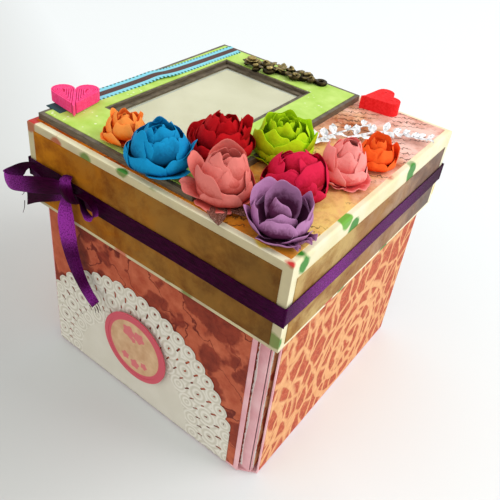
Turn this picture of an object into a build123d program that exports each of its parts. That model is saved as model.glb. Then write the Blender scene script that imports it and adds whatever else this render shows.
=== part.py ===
"""Explosion gift box: nested pink card layers under a lift-off lid dressed with
papers, a satin ribbon and bow, a photo frame, paper roses and quilled hearts.

The origin is the middle of the base's underside. The front, with the doily and
the bow, faces -Y, +X is to the right and +Z is up. Millimetres.
"""
from build123d import *
import os
from math import atan2, cos, pi, radians, sin

os.makedirs("parts", exist_ok=True)

# Nested layers: each is one sheet of pink card, a square base with four flaps
base_side = 150.0
layer_step = 6.0
flap_shortfall = 5.2
card = 0.7
fold_radius = 1.0
flap_tip_radius = 3.0
front_left_cut = 4.5
front_right_cut = 9.0
side_cut = 5.5

# Printed papers glued on the flaps, with a border of pink card left round them
paper = 0.25
front_left_border = 0.8
front_right_border = 2.5
side_border = 1.2
flap_foot_border = 1.5
flap_head_border = 3.0
torn_border = 4.0
torn_side_border = 0.2
tear_depth = 0.9
tear_steps = 22
tear_beat = 3.7

# Paper lace doily at the foot of the front flap
lace_paper = 0.15
doily_radius = 73.5
doily_across = -9.5
doily_up = 4.5
doily_right_edge = 59.0
doily_cut_height = 34.0
scallop_count = 52
scallop_radius = 4.6
eyelet_radius = 0.75
petal_hole_length = 3.6
petal_hole_width = 1.5
lace_margin = 4.2
lace_row_step = 6.2
lace_rows = 4
hole_margin = 4.0

# Round badge on a foam pad
badge_radius = 22.0
badge_card = 0.5
badge_across = -5.0
badge_up = 40.3
badge_rim_width = 2.6
badge_rim_height = 0.15
foam_inset = 3.0
foam_thickness = 1.8

# Lift-off lid of floral card
lid_card = 0.8
lid_clearance = 1.45
lid_drop = 46.5
lid_seat = 0.2
lid_edge_radius = 1.2
tab_length = 14.0
tab_inset = 2.0
top_paper_border = 3.2
lid_paper_end = 4.5
lid_paper_foot = 2.0
front_paper_head = 4.2
side_paper_head = 8.5

# Satin ribbon: a band round the lid, tied in a bow near its left corner
ribbon_width = 10.0
ribbon = 0.5
ribbon_clearance = 0.3
band_up = 15.5
knot_from_left = 35.0
knot_width = 13.0
knot_height = 12.0
knot_depth = 5.0
knot_round = 1.6
knot_rise = 2.0
left_loop_length = 49.5
left_loop_radius = 4.6
left_loop_droop = 13.0
right_loop_length = 18.2
right_loop_radius = 6.2
right_loop_droop = 12.0
right_loop_width = 6.0
loop_root_radius = 1.3
long_tail_length = 62.0
long_tail_sway = 17.0
short_tail_length = 41.0
short_tail_droop = 26.0

# Photo frame on the lid: board, lime paper face, inner mat, clear film and bare sheet
frame_length = 142.8
frame_from_left = 3.5
frame_from_front = 4.4
frame_from_rose = 1.8
frame_board = 3.4
left_bar = 17.8
right_bar = 22.0
front_bar = 28.0
back_bar = 20.2
face_paper = 0.3
face_reveal = 2.2
window_reveal = 1.3
window_fit = 0.3
mat_board = 1.2
mat_width = 3.0
film = 0.2
photo_sheet_thickness = 0.25

# Striped ribbon along the frame's left bar
stripe_width = 11.5
stripe = 0.5
stripe_inset = 0.8
stripe_kink = 1.6
stripe_kink_share = 0.55
stripe_toe_out = 4.0
stripe_toe_length = 30.0
stripe_swing = 4.4

# Cast metal flourish on the frame's back bar
flourish_length = 50.0
flourish_wave = 2.6
flourish_stem = 2.4
flourish_metal = 1.3
flourish_turn = 14.0
flourish_from_left = 29.0
flourish_from_back = 17.0
flourish_leaf = 8.5
flourish_leaf_width = 4.2
flourish_leaves = 8
flourish_leaf_lean = 40
flourish_steps = 14
rosette_radius = 5.0
rosette_petals = 5
rosette_height = 3.2
dome_share = 0.52
dome_radius = 4.4
dome_height = 3.4
ring_radius = 2.6
ring_hole = 1.3
ring_bite = 0.7

# Quilled hearts: each is two pinched coils of one paper strip
heart_strip = 0.75
heart_turns = 5
heart_points_per_turn = 12
heart_core_share = 0.16
heart_coil_share = 0.34
heart_glue = 0.15
pink_heart_length = 26.0
pink_heart_height = 5.5
pink_heart_from_left = 19.0
pink_heart_from_front = 13.0
pink_heart_turn = -43
red_heart_length = 22.0
red_heart_height = 7.5
red_heart_from_frame = 4.5
red_heart_from_back = 16.0
red_heart_turn = 225

# Paper roses: a rolled bud, a cup of petals and an open skirt of petals
large_rose = 29.5
medium_rose = 26.5
small_rose = 20.4
tall_rose = 22.5
rose_paper = 0.5
rose_gap = 1.2
wide_rose_gap = 3.6
rose_foot_radius = 3.2
low_foot = 1.6
tall_foot = 4.6
first_rose_from_right = 27.2
first_rose_from_front = 40.7

# Leaves and sprigs tucked under the roses
leaf_paper = 0.4
leaf_gap = 0.8
dark_leaf_length = 18.0
dark_leaf_width = 6.5
lace_leaf_length = 21.0
lace_leaf_width = 8.0
small_leaf_length = 13.0
sprig_stem = 0.9
sprig_leaf_length = 5.6
sprig_leaf_width = 2.8
sprig_leaf_step = 5.2
sprig_leaf_lean = 48
sprig_from_frame = 6.5
sprig_from_rose = 17.5
sprig_apart = 20.5
sprig_aside = 11.0
short_sprig_length = 44.0
long_sprig_length = 42.0

# Shares of the piece they shape, chosen by eye. A ring of petals has its foot, waist and rim
# as shares of the rose's radius and its height as a share of the rose's.
leaf_outline_shares = ((0, 0), (0.22, 0.36), (0.5, 0.5), (0.78, 0.32), (1, 0))
rose_height_share = 0.62
tall_height_share = 0.84
rose_skirt_shares = (0.4, 0.84, 1.0, 0.56)
rose_cup_shares = (0.3, 0.7, 0.62, 0.9)
rose_bud_shares = (0.2, 0.42, 0.18, 1.0)
waist_share = 0.52
petal_tip_shares = (0.72, 1.0, 1.0)

# Values that several pieces share
outer_wall = base_side - flap_shortfall
lid_side = base_side + 2 * (paper + lid_clearance + lid_card)
lid_half = lid_side / 2
lid_under = outer_wall + lid_seat
lid_top = lid_under + lid_card
lid_bottom = lid_top - lid_drop
table = lid_top + paper
frame_top = table + frame_board
face_top = frame_top + face_paper
sides = {"front": 0, "right": 90, "back": 180, "left": 270}
cut_over = 5.0
tiny = 0.001


def keep(piece, name):
    """Label one finished piece and write it."""
    piece.part.label = name
    export_step(piece.part, f"parts/{name}.step")


def side_plane(turn, distance):
    """The plane of one side of the box, its x along the side and its y up."""
    angle = radians(turn)
    outward = (sin(angle), -cos(angle), 0)
    along = (cos(angle), sin(angle), 0)
    return Plane(origin=Vector(*outward) * distance, x_dir=along, z_dir=outward)


# Nested layers
def folded_layer(name, side, floor, left_cut, right_cut, fore_cut):
    """One sheet of card: a base whose corners are cut off, and four flaps folded up."""
    wall = side - flap_shortfall
    with BuildPart() as layer:
        with BuildSketch(Plane.XY.offset(floor)):
            with Locations(((left_cut - right_cut) / 2, 0)):
                Rectangle(side - left_cut - right_cut, side - 2 * fold_radius)
            Rectangle(side - 2 * fold_radius, side - 2 * fore_cut)
            make_hull()
        extrude(amount=card)
        for fold_plane, near_cut, far_cut in (
                (Plane.YZ, right_cut, left_cut), (Plane.XZ, fore_cut, fore_cut)):
            with BuildSketch(fold_plane) as section:
                with Locations((0, floor + wall / 2)):
                    Rectangle(side, wall)
                fillet(section.vertices().group_by(Axis.Y)[0], fold_radius)
                with Locations((0, floor + card + wall / 2)):
                    Rectangle(side - 2 * card, wall, mode=Mode.SUBTRACT)
            extrude(amount=side / 2 - near_cut)
            extrude(section.sketch, amount=-(side / 2 - far_cut))
        ends = layer.edges().filter_by(lambda edge: abs(edge.length - card) < tiny)
        fillet(ends.group_by(Axis.Z)[-1], flap_tip_radius)
    keep(layer, name)


middle_side = base_side - layer_step
inner_side = middle_side - layer_step
folded_layer("outer_layer", base_side, 0, front_left_cut, front_right_cut, side_cut)
folded_layer("middle_layer", middle_side, card, fold_radius, fold_radius, fold_radius)
folded_layer("inner_layer", inner_side, 2 * card, fold_radius, fold_radius, fold_radius)


# Papers on the outer flaps, cut straight. Seen from behind, left and right change over
front_left = -base_side / 2 + front_left_cut + front_left_border
front_right = base_side / 2 - front_right_cut - front_right_border
side_end = base_side / 2 - side_cut - side_border
paper_spans = {"front": (front_left, front_right), "right": (-side_end, side_end),
               "back": (-front_right, -front_left), "left": (-side_end, side_end)}
for side_name, turn in sides.items():
    low, high = paper_spans[side_name]
    foot = fold_radius + flap_foot_border
    head = outer_wall - flap_head_border
    with BuildPart() as flap_paper:
        with BuildSketch(side_plane(turn, base_side / 2)):
            with Locations(((low + high) / 2, (foot + head) / 2)):
                Rectangle(high - low, head - foot)
        extrude(amount=paper)
    keep(flap_paper, f"outer_{side_name}_paper")

# Papers on the middle flaps, torn along their upright edges
for side_name, turn in sides.items():
    half = middle_side / 2 - fold_radius - (torn_border if turn % 180 == 0 else torn_side_border)
    foot = card + fold_radius + flap_foot_border
    head = card + middle_side - flap_shortfall - flap_head_border
    climb = (head - foot) / tear_steps
    tears = [tear_depth * abs(sin(tear_beat * step + turn)) for step in range(tear_steps + 1)]
    right = [(half - tear, foot + climb * step) for step, tear in enumerate(tears)]
    left = [(-x, y) for x, y in reversed(right)]
    with BuildPart() as torn_paper:
        with BuildSketch(side_plane(turn, middle_side / 2)):
            with BuildLine():
                Polyline(right + left, close=True)
            make_face()
        extrude(amount=paper)
    keep(torn_paper, f"middle_{side_name}_paper")


# Doily: a round of paper lace, its lower half cut off at the foot of the flap
doily_plane = side_plane(0, base_side / 2 + paper)
lace_left_edge = front_left
hole_turn = 360 / scallop_count
row_radii = [doily_radius - lace_margin - row * lace_row_step for row in range(lace_rows)]
with BuildPart() as doily:
    with BuildSketch(doily_plane):
        with Locations((doily_across, doily_up)):
            Circle(doily_radius - scallop_radius / 2)
            with PolarLocations(doily_radius - scallop_radius, scallop_count):
                Circle(scallop_radius)
        with Locations(((lace_left_edge + doily_right_edge) / 2, fold_radius + doily_radius)):
            Rectangle(doily_right_edge - lace_left_edge, 2 * doily_radius, mode=Mode.INTERSECT)
        for row, radius in enumerate(row_radii):
            for step in range(scallop_count // 2):
                angle = hole_turn * (step + row % 2 / 2)
                across = doily_across + radius * cos(radians(angle))
                up = doily_up + radius * sin(radians(angle))
                right_room = doily_right_edge - across > hole_margin
                left_room = across - lace_left_edge > hole_margin
                if not (right_room and left_room and up > hole_margin + fold_radius):
                    continue
                with Locations(Location((across, up), angle)):
                    if row % 2 == 0:
                        RegularPolygon(eyelet_radius, 4, mode=Mode.SUBTRACT)
                    else:
                        shape = [(petal_hole_length / 2, 0), (0, petal_hole_width / 2),
                                 (-petal_hole_length / 2, 0), (0, -petal_hole_width / 2)]
                        Polygon(*shape, mode=Mode.SUBTRACT)
    extrude(amount=lace_paper)
keep(doily, "doily")

# Foam pad and round badge on the doily
pad_plane = side_plane(0, base_side / 2 + paper + lace_paper)
with BuildPart() as badge_pad:
    with BuildSketch(pad_plane):
        with Locations((badge_across, badge_up)):
            Circle(badge_radius - foam_inset)
    extrude(amount=foam_thickness)
keep(badge_pad, "badge_pad")

with BuildPart() as badge:
    with BuildSketch(pad_plane.offset(foam_thickness)):
        with Locations((badge_across, badge_up)):
            Circle(badge_radius)
    extrude(amount=badge_card)
    with BuildSketch(pad_plane.offset(foam_thickness + badge_card)):
        with Locations((badge_across, badge_up)):
            Circle(badge_radius)
            Circle(badge_radius - badge_rim_width, mode=Mode.SUBTRACT)
    extrude(amount=badge_rim_height)
keep(badge, "badge")


# Lid: a tray folded from one sheet, with glue tabs inside its corners
lid_inside = lid_side - 2 * lid_card
with BuildPart() as lid_tray:
    with BuildSketch(Plane.XY.offset(lid_bottom)):
        Rectangle(lid_side, lid_side)
    extrude(amount=lid_drop)
    fillet(lid_tray.edges().group_by(Axis.Z)[-1], lid_edge_radius)
    with BuildSketch(Plane.XY.offset(lid_bottom)):
        Rectangle(lid_inside, lid_inside)
    extrude(amount=lid_drop - lid_card, mode=Mode.SUBTRACT)
    # each tab is the end of the front or back side, turned onto its neighbour
    tab_height = lid_drop - lid_card - 2 * tab_inset
    tab_middle = lid_bottom + tab_inset + tab_height / 2
    for corner_x in (-1, 1):
        for corner_y in (-1, 1):
            tab_x = corner_x * (lid_inside - lid_card) / 2
            tab_y = corner_y * (lid_inside - tab_length) / 2
            with Locations((tab_x, tab_y, tab_middle)):
                Box(lid_card, tab_length, tab_height)
keep(lid_tray, "lid_tray")

with BuildPart() as lid_top_paper:
    with BuildSketch(Plane.XY.offset(lid_top)):
        Rectangle(lid_side - 2 * top_paper_border, lid_side - 2 * top_paper_border)
    extrude(amount=paper)
keep(lid_top_paper, "lid_top_paper")

for side_name, turn in sides.items():
    head = lid_top - (front_paper_head if turn % 180 == 0 else side_paper_head)
    foot = lid_bottom + lid_paper_foot
    with BuildPart() as lid_paper:
        with BuildSketch(side_plane(turn, lid_half)):
            with Locations((0, (foot + head) / 2)):
                Rectangle(lid_side - 2 * lid_paper_end, head - foot)
        extrude(amount=paper)
    keep(lid_paper, f"lid_{side_name}_paper")


# Satin ribbon: band, knot, two loops and two tails, one length of ribbon
band_half = lid_half + paper + ribbon_clearance
band_bottom = lid_bottom + band_up
knot_x = -lid_half + knot_from_left
knot_z = band_bottom + ribbon_width / 2 + knot_rise
bow_plane = side_plane(0, band_half + ribbon / 2)


def loop_section(length, radius):
    """A flattened teardrop of ribbon seen edge on, its root at the knot."""
    with Locations((0, loop_root_radius)):
        Circle(loop_root_radius)
    with Locations((length - radius, radius)):
        Circle(radius)
    make_hull()
    offset(amount=-ribbon, mode=Mode.SUBTRACT)


def leaning_plane(droop, depth):
    """A plane through the knot that leans to the left and down, its y outward."""
    lean = radians(droop)
    root = (knot_x, -(band_half + depth), knot_z)
    return Plane(origin=root, x_dir=(-cos(lean), 0, -sin(lean)), z_dir=(-sin(lean), 0, cos(lean)))


with BuildPart() as satin_ribbon:
    with BuildSketch(Plane.XY.offset(band_bottom)) as band:
        Rectangle(2 * (band_half + ribbon), 2 * (band_half + ribbon))
        fillet(band.vertices(), lid_edge_radius)
        Rectangle(2 * band_half, 2 * band_half, mode=Mode.SUBTRACT)
    extrude(amount=ribbon_width)
    # the left loop leaves the knot sideways, and the ribbon stands on its edge
    with BuildSketch(leaning_plane(left_loop_droop, ribbon + ribbon_clearance)):
        loop_section(left_loop_length, left_loop_radius)
    extrude(amount=ribbon_width / 2, both=True)
    # the small right loop curls down beside the knot
    right_root = Location((knot_x, knot_z), -right_loop_droop)
    with BuildSketch(bow_plane.offset(ribbon)):
        with Locations(right_root):
            with Locations((right_loop_length - right_loop_radius, 0)):
                Circle(right_loop_radius)
                Circle(right_loop_radius - ribbon, mode=Mode.SUBTRACT)
    extrude(amount=right_loop_width)
    # the long tail hangs down in a slow curve and is cut at a slant
    tail_x = knot_x - knot_width / 4
    tail_bend = tail_x - long_tail_sway / 6
    tail_end = tail_x + long_tail_sway
    half_tail = ribbon_width / 2
    tail_top = (tail_x, knot_z)
    tail_middle = (tail_bend, knot_z - long_tail_length / 2)
    tail_tip = (tail_end, knot_z - long_tail_length)
    with BuildSketch(bow_plane.offset(knot_depth / 2)):
        with BuildLine():
            tail_left = ThreePointArc(
                (tail_top[0] - half_tail, tail_top[1]),
                (tail_middle[0] - half_tail, tail_middle[1]),
                (tail_tip[0] - half_tail, tail_tip[1]))
            tail_right = ThreePointArc(
                (tail_top[0] + half_tail, tail_top[1]),
                (tail_middle[0] + half_tail, tail_middle[1]),
                (tail_tip[0] + half_tail, tail_tip[1] + half_tail))
            Line(tail_left @ 0, tail_right @ 0)
            Line(tail_left @ 1, tail_right @ 1)
        make_face()
    extrude(amount=ribbon)
    # the short tail goes left under the loop
    with BuildSketch(bow_plane.offset(ribbon)):
        with Locations(Location((knot_x, knot_z), short_tail_droop)):
            with Locations((-short_tail_length / 2, 0)):
                Rectangle(short_tail_length, ribbon_width)
    extrude(amount=ribbon)
    # the knot wraps them all
    with BuildPart(bow_plane, mode=Mode.PRIVATE) as knot:
        with Locations((knot_x, knot_z, knot_depth / 2)):
            Box(knot_width, knot_height, knot_depth)
        fillet(knot.edges(), knot_round)
    add(knot.part)
keep(satin_ribbon, "satin_ribbon")


# Places of the roses, each beside a neighbour
def beside(place, bearing, diameter_a, diameter_b, gap=rose_gap):
    """The place of a rose that sits against another one."""
    reach = (diameter_a + diameter_b) / 2 + gap
    return (place[0] + reach * cos(radians(bearing)), place[1] + reach * sin(radians(bearing)))


crimson = (lid_half - first_rose_from_right, -lid_half + first_rose_from_front)
purple = beside(crimson, -69, large_rose, medium_rose)
coral = beside(crimson, 69, large_rose, tall_rose)
vermilion = beside(coral, 79, tall_rose, small_rose)
salmon = beside(crimson, -127, large_rose, large_rose)
lime = beside(crimson, 134, large_rose, large_rose)
red = beside(salmon, 133, large_rose, large_rose)
blue = beside(salmon, -172, large_rose, large_rose, wide_rose_gap)
orange = beside(blue, 171, large_rose, small_rose)

# Photo frame: it fills the lid's left up to the roses that are glued on the lid
frame_left = -lid_half + frame_from_left
frame_right = min(salmon[0], lime[0]) - rose_foot_radius - frame_from_rose
frame_width = frame_right - frame_left
frame_front = -lid_half + frame_from_front
frame_centre = (frame_left + frame_width / 2, frame_front + frame_length / 2)
window_width = frame_width - left_bar - right_bar
window_length = frame_length - front_bar - back_bar
window_centre = (frame_left + left_bar + window_width / 2,
                 frame_front + front_bar + window_length / 2)


def ring_sheet(outer_centre, outer_size, window_size, floor, thickness):
    """A flat sheet or board with the frame's window cut through it."""
    with BuildPart() as sheet:
        with BuildSketch(Plane.XY.offset(floor)):
            with Locations(outer_centre):
                Rectangle(*outer_size)
            with Locations(window_centre):
                Rectangle(*window_size, mode=Mode.SUBTRACT)
        extrude(amount=thickness)
    return sheet


def plain_sheet(floor, thickness):
    """A flat sheet that fits in the frame's window."""
    with BuildPart() as sheet:
        with BuildSketch(Plane.XY.offset(floor)):
            with Locations(window_centre):
                Rectangle(window_width - 2 * window_fit, window_length - 2 * window_fit)
        extrude(amount=thickness)
    return sheet


photo_sheet = plain_sheet(table, photo_sheet_thickness)
keep(photo_sheet, "photo_sheet")
window_film = plain_sheet(table + photo_sheet_thickness, film)
keep(window_film, "window_film")
inner_mat = ring_sheet(
    window_centre,
    (window_width - 2 * window_fit, window_length - 2 * window_fit),
    (window_width - 2 * mat_width, window_length - 2 * mat_width),
    table + photo_sheet_thickness + film, mat_board)
keep(inner_mat, "inner_mat")
frame_back = ring_sheet(
    frame_centre, (frame_width, frame_length), (window_width, window_length),
    table, frame_board)
keep(frame_back, "frame_board")
frame_face = ring_sheet(
    frame_centre, (frame_width - 2 * face_reveal, frame_length - 2 * face_reveal),
    (window_width + 2 * window_reveal, window_length + 2 * window_reveal),
    frame_top, face_paper)
keep(frame_face, "frame_face")

# Striped ribbon: it toes out at the front, kinks in the middle and swings at the back
stripe_x = frame_left + stripe_inset + stripe_width / 2
stripe_front = frame_front + face_reveal + stripe_toe_out
stripe_back = frame_front + frame_length
kink_y = stripe_front + (stripe_back - stripe_front) * stripe_kink_share
stripe_path = [
    (stripe_x - stripe_toe_out, stripe_front),
    (stripe_x, stripe_front + stripe_toe_length),
    (stripe_x, kink_y - stripe_kink),
    (stripe_x - stripe_kink, kink_y + stripe_kink),
    (stripe_x + stripe_swing, stripe_back),
]
with BuildPart() as striped_ribbon:
    with BuildSketch(Plane.XY.offset(face_top)):
        with BuildLine():
            edge_points = [(x - stripe_width / 2, y) for x, y in stripe_path]
            edge_points += [(x + stripe_width / 2, y) for x, y in reversed(stripe_path)]
            Polyline(edge_points, close=True)
        make_face()
    extrude(amount=stripe)
keep(striped_ribbon, "striped_ribbon")


def leaf_points(length, width):
    """The outline of one leaf along x, from its stalk to its tip and back."""
    near = [(length * along, width * out) for along, out in leaf_outline_shares]
    far = [(x, -y) for x, y in reversed(near[1:-1])]
    return near + far


# Metal flourish: a waved stem with leaves, a rosette, a dome and a ring at its end
flourish_place = (frame_left + flourish_from_left, frame_front + frame_length - flourish_from_back)
flourish_plane = Plane(
    origin=(*flourish_place, face_top),
    x_dir=(cos(radians(flourish_turn)), sin(radians(flourish_turn)), 0), z_dir=(0, 0, 1))
stem_length = flourish_length - 2 * ring_radius


def stem_height(along):
    """How far the waved stem stands off its straight line."""
    return flourish_wave * sin(2 * pi * along / stem_length)


with BuildPart() as metal_flourish:
    with BuildSketch(flourish_plane):
        stations = [stem_length * step / flourish_steps for step in range(flourish_steps + 1)]
        above = [(x, stem_height(x) + flourish_stem / 2) for x in stations]
        below = [(x, stem_height(x) - flourish_stem / 2) for x in reversed(stations)]
        with BuildLine():
            Polyline(above + below, close=True)
        make_face()
        for leaf in range(flourish_leaves):
            leaf_x = stem_length * (leaf + 1) / (flourish_leaves + 1)
            lean = flourish_leaf_lean if leaf % 2 else -flourish_leaf_lean
            with Locations(Location((leaf_x, stem_height(leaf_x)), lean)):
                Polygon(*leaf_points(flourish_leaf, flourish_leaf_width), align=None)
        with Locations((stem_length + ring_radius - ring_bite, 0)):
            RegularPolygon(ring_radius, 8)
            RegularPolygon(ring_hole, 8, mode=Mode.SUBTRACT)
    extrude(amount=flourish_metal)
    with BuildSketch(flourish_plane):
        with PolarLocations(rosette_radius / 2, rosette_petals):
            RegularPolygon(rosette_radius / 2, 6)
        RegularPolygon(rosette_radius / 2, rosette_petals)
    extrude(amount=rosette_height)
    with BuildSketch(flourish_plane):
        with Locations((stem_length * dome_share, flourish_wave)):
            RegularPolygon(dome_radius, 8)
    extrude(amount=dome_height, taper=35)
keep(metal_flourish, "metal_flourish")


# Quilled hearts
heart_spread = atan2(heart_coil_share, 1)


def coil_point(step, radius):
    """One point on a pinched coil: a round head and, once each turn, its point."""
    place = step % heart_points_per_turn
    if place == 0:
        return (radius / sin(heart_spread), 0)
    swing = (pi / 2 + heart_spread) * (1 - 2 * (place - 1) / (heart_points_per_turn - 2))
    return (-radius * cos(swing), radius * sin(swing))


def pinched_coil(radius):
    """The outline of one paper strip wound in, turn by turn, to its core."""
    steps = heart_turns * heart_points_per_turn
    outside = []
    inside = []
    for step in range(steps + 1):
        turn_radius = radius * (1 - (1 - heart_core_share) * step / steps)
        outside.append(coil_point(step, turn_radius))
        inside.append(coil_point(step, turn_radius - heart_strip))
    return outside + inside[::-1]


def quilled_heart(name, tip, tip_bearing, length, height, floor):
    """Two pinched coils glued side by side, their points together at the tip."""
    radius = length * sin(heart_spread) / (1 + sin(heart_spread))
    reach = length - radius
    lean = heart_spread - atan2(heart_glue, reach)
    with BuildPart() as heart:
        with BuildSketch(Plane.XY.offset(floor)):
            for hand in (-1, 1):
                turn = radians(tip_bearing) + hand * lean
                points = []
                for x, y in pinched_coil(radius):
                    x -= reach
                    y *= hand
                    points.append((tip[0] + x * cos(turn) - y * sin(turn),
                                   tip[1] + x * sin(turn) + y * cos(turn)))
                with BuildLine():
                    Polyline(points, close=True)
                make_face()
        extrude(amount=height)
    keep(heart, name)


pink_heart_tip = (-lid_half + pink_heart_from_left, -lid_half + pink_heart_from_front)
quilled_heart("pink_heart", pink_heart_tip, pink_heart_turn, pink_heart_length,
              pink_heart_height, face_top + stripe)
red_heart_tip = (frame_right + red_heart_from_frame, lid_half - red_heart_from_back)
quilled_heart("red_heart", red_heart_tip, red_heart_turn, red_heart_length, red_heart_height,
              table)


# Paper roses
def petal_columns(petals, turn):
    """The bearings round a ring of petals, with how far each stands out: notch, petal, petal."""
    count = petals * len(petal_tip_shares)
    return [(radians(turn) + 2 * pi * index / count, petal_tip_shares[index % len(petal_tip_shares)])
            for index in range(count)]


def ring_points(columns, radius, level):
    """A lobed ring of points, flat at one level."""
    return [Vector(radius * share * cos(angle), radius * share * sin(angle), level)
            for angle, share in columns]


def rim_points(columns, waist, waist_radius, rim, rim_radius, thickness):
    """The petals' rim: between two petals it dips along the line from waist to rim."""
    points = []
    for angle, share in columns:
        radius = waist_radius + (rim_radius - waist_radius) * share - thickness
        level = waist + (rim - waist) * share
        points += ring_points([(angle, share)], radius, level)
    return points


def petal_ring(floor, radius, height, shares, petals, turn):
    """A ring of cupped petals: it rises from its foot, swells at its waist and ends in lobes."""
    foot_radius, waist_radius, rim_radius = (radius * share for share in shares[:3])
    rim = floor + height * shares[3]
    waist = floor + (rim - floor) * waist_share
    columns = petal_columns(petals, turn)
    outside = [ring_points(columns, foot_radius, floor),
               ring_points(columns, waist_radius, waist),
               rim_points(columns, waist, waist_radius, rim, rim_radius, 0)]
    inside = [ring_points(columns, foot_radius - rose_paper, floor + rose_paper),
              ring_points(columns, waist_radius - rose_paper, waist),
              rim_points(columns, waist, waist_radius, rim, rim_radius, rose_paper)]
    faces = [Face(Wire.make_polygon(outside[0])), Face(Wire.make_polygon(inside[0]))]
    for here in range(len(columns)):
        after = (here + 1) % len(columns)
        for low, high in (outside[0:2], outside[1:3], inside[0:2], inside[1:3]):
            corners = [low[here], low[after], high[after], high[here]]
            faces.append(Face(Wire.make_polygon(corners)))
        outer_rim, inner_rim = outside[2], inside[2]
        faces.append(Face(Wire.make_polygon([outer_rim[here], outer_rim[after], inner_rim[after]])))
        faces.append(Face(Wire.make_polygon([outer_rim[here], inner_rim[after], inner_rim[here]])))
    return Solid(Shell(faces))


def rolled_bud(radius, height, shares):
    """The closed bud: it swells to half its height and narrows to its tip."""
    sections = [(2 * rose_paper, shares[0]), (height * waist_share, shares[1]), (height * shares[3], shares[2])]
    with BuildPart(mode=Mode.PRIVATE) as bud:
        for low, high in zip(sections, sections[1:]):
            for level, share in (low, high):
                with BuildSketch(Plane.XY.offset(level)):
                    RegularPolygon(radius * share, 5)
            loft(ruled=True)
    return bud.part


def paper_rose(name, place, floor, diameter, foot, turn, height_share=rose_height_share):
    """A bud, a cup of four petals and a skirt of five petals on a glued foot."""
    radius = diameter / 2
    height = diameter * height_share
    skirt = petal_ring(0, radius, height, rose_skirt_shares, 5, turn)
    cup = petal_ring(rose_paper, radius, height, rose_cup_shares, 4, turn + 31)
    bud = rolled_bud(radius, height, rose_bud_shares)
    with BuildPart() as rose:
        with BuildSketch(Plane.XY):
            RegularPolygon(rose_foot_radius, 8)
        extrude(amount=foot)
        for ring in (skirt, cup, bud):
            add(ring.moved(Location((0, 0, foot))))
    rose.part.position = (place[0], place[1], floor)
    keep(rose, name)


paper_rose("rose_crimson", crimson, table, large_rose, low_foot, 10)
paper_rose("rose_purple", purple, table, medium_rose, low_foot, 40)
paper_rose("rose_coral", coral, table, tall_rose, low_foot, 25, tall_height_share)
paper_rose("rose_vermilion", vermilion, table, small_rose, low_foot, 60)
paper_rose("rose_salmon", salmon, table, large_rose, tall_foot, 75)
paper_rose("rose_lime", lime, table, large_rose, tall_foot, 5)
paper_rose("rose_red", red, face_top, large_rose, low_foot, 50)
paper_rose("rose_blue", blue, face_top, large_rose, low_foot, 20)
paper_rose("rose_orange", orange, face_top, small_rose, low_foot, 35)


# Leaves and sprigs
def flat_leaf(name, rose, from_bearing, bearing, length, width, floor):
    """One leaf lying flat, its stalk beside a rose's foot, pointing to a bearing."""
    reach = rose_foot_radius + leaf_gap
    stalk = (rose[0] + reach * cos(radians(from_bearing)), rose[1] + reach * sin(radians(from_bearing)))
    with BuildPart() as leaf:
        with BuildSketch(Plane.XY.offset(floor)):
            with Locations(Location(stalk, bearing)):
                Polygon(*leaf_points(length, width), align=None)
        extrude(amount=leaf_paper)
    keep(leaf, name)


def leafy_sprig(name, root, bearing, length, floor):
    """A straight stem with pairs of small leaves."""
    with BuildPart() as sprig:
        with BuildSketch(Plane.XY.offset(floor)):
            with Locations(Location(root, bearing)):
                with Locations((length / 2, 0)):
                    Rectangle(length, sprig_stem)
                reach = sprig_leaf_step
                while reach < length:
                    for lean in (-sprig_leaf_lean, sprig_leaf_lean):
                        with Locations(Location((reach, 0), lean)):
                            Polygon(*leaf_points(sprig_leaf_length, sprig_leaf_width), align=None)
                    reach += sprig_leaf_step
        extrude(amount=leaf_paper)
    keep(sprig, name)


flat_leaf("dark_leaf_left", blue, 187, 187, dark_leaf_length, dark_leaf_width, face_top)
flat_leaf("dark_leaf_right", blue, 80, 80, small_leaf_length, dark_leaf_width, face_top)
flat_leaf("lace_leaf_left", salmon, 235, -48, lace_leaf_length, lace_leaf_width, table)
flat_leaf("lace_leaf_right", salmon, -45, -15, small_leaf_length, dark_leaf_width, table)
short_root = (frame_right + sprig_from_frame, lime[1] + sprig_from_rose)
long_root = (short_root[0] + sprig_aside, short_root[1] + sprig_apart)
leafy_sprig("short_sprig", short_root, 71, short_sprig_length, table)
leafy_sprig("long_sprig", long_root, 42, long_sprig_length, table + leaf_paper)
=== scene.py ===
from math import cos, pi, radians, sin

import bpy
import numpy as np
from mathutils import Matrix, Vector


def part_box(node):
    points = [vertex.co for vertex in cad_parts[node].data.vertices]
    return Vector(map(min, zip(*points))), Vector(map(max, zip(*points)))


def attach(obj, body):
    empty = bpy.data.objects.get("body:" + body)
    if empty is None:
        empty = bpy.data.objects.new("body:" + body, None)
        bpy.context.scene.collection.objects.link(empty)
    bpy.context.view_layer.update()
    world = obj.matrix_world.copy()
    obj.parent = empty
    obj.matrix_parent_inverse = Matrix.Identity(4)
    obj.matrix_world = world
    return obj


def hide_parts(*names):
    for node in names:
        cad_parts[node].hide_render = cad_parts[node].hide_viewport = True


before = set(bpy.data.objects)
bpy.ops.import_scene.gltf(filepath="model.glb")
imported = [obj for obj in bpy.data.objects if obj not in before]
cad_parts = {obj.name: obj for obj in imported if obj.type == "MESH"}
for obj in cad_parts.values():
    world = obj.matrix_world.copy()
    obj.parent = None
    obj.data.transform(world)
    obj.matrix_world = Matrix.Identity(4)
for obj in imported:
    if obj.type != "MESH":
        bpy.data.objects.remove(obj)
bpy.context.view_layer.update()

# Nested card layers
# Three sheets of dyed uncoated card, each cut to a cross, scored and folded up into four flaps.
# The dye is even but the felt side is a little cloudy, and its tooth keeps the surface matt.
mm = 0.001


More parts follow.
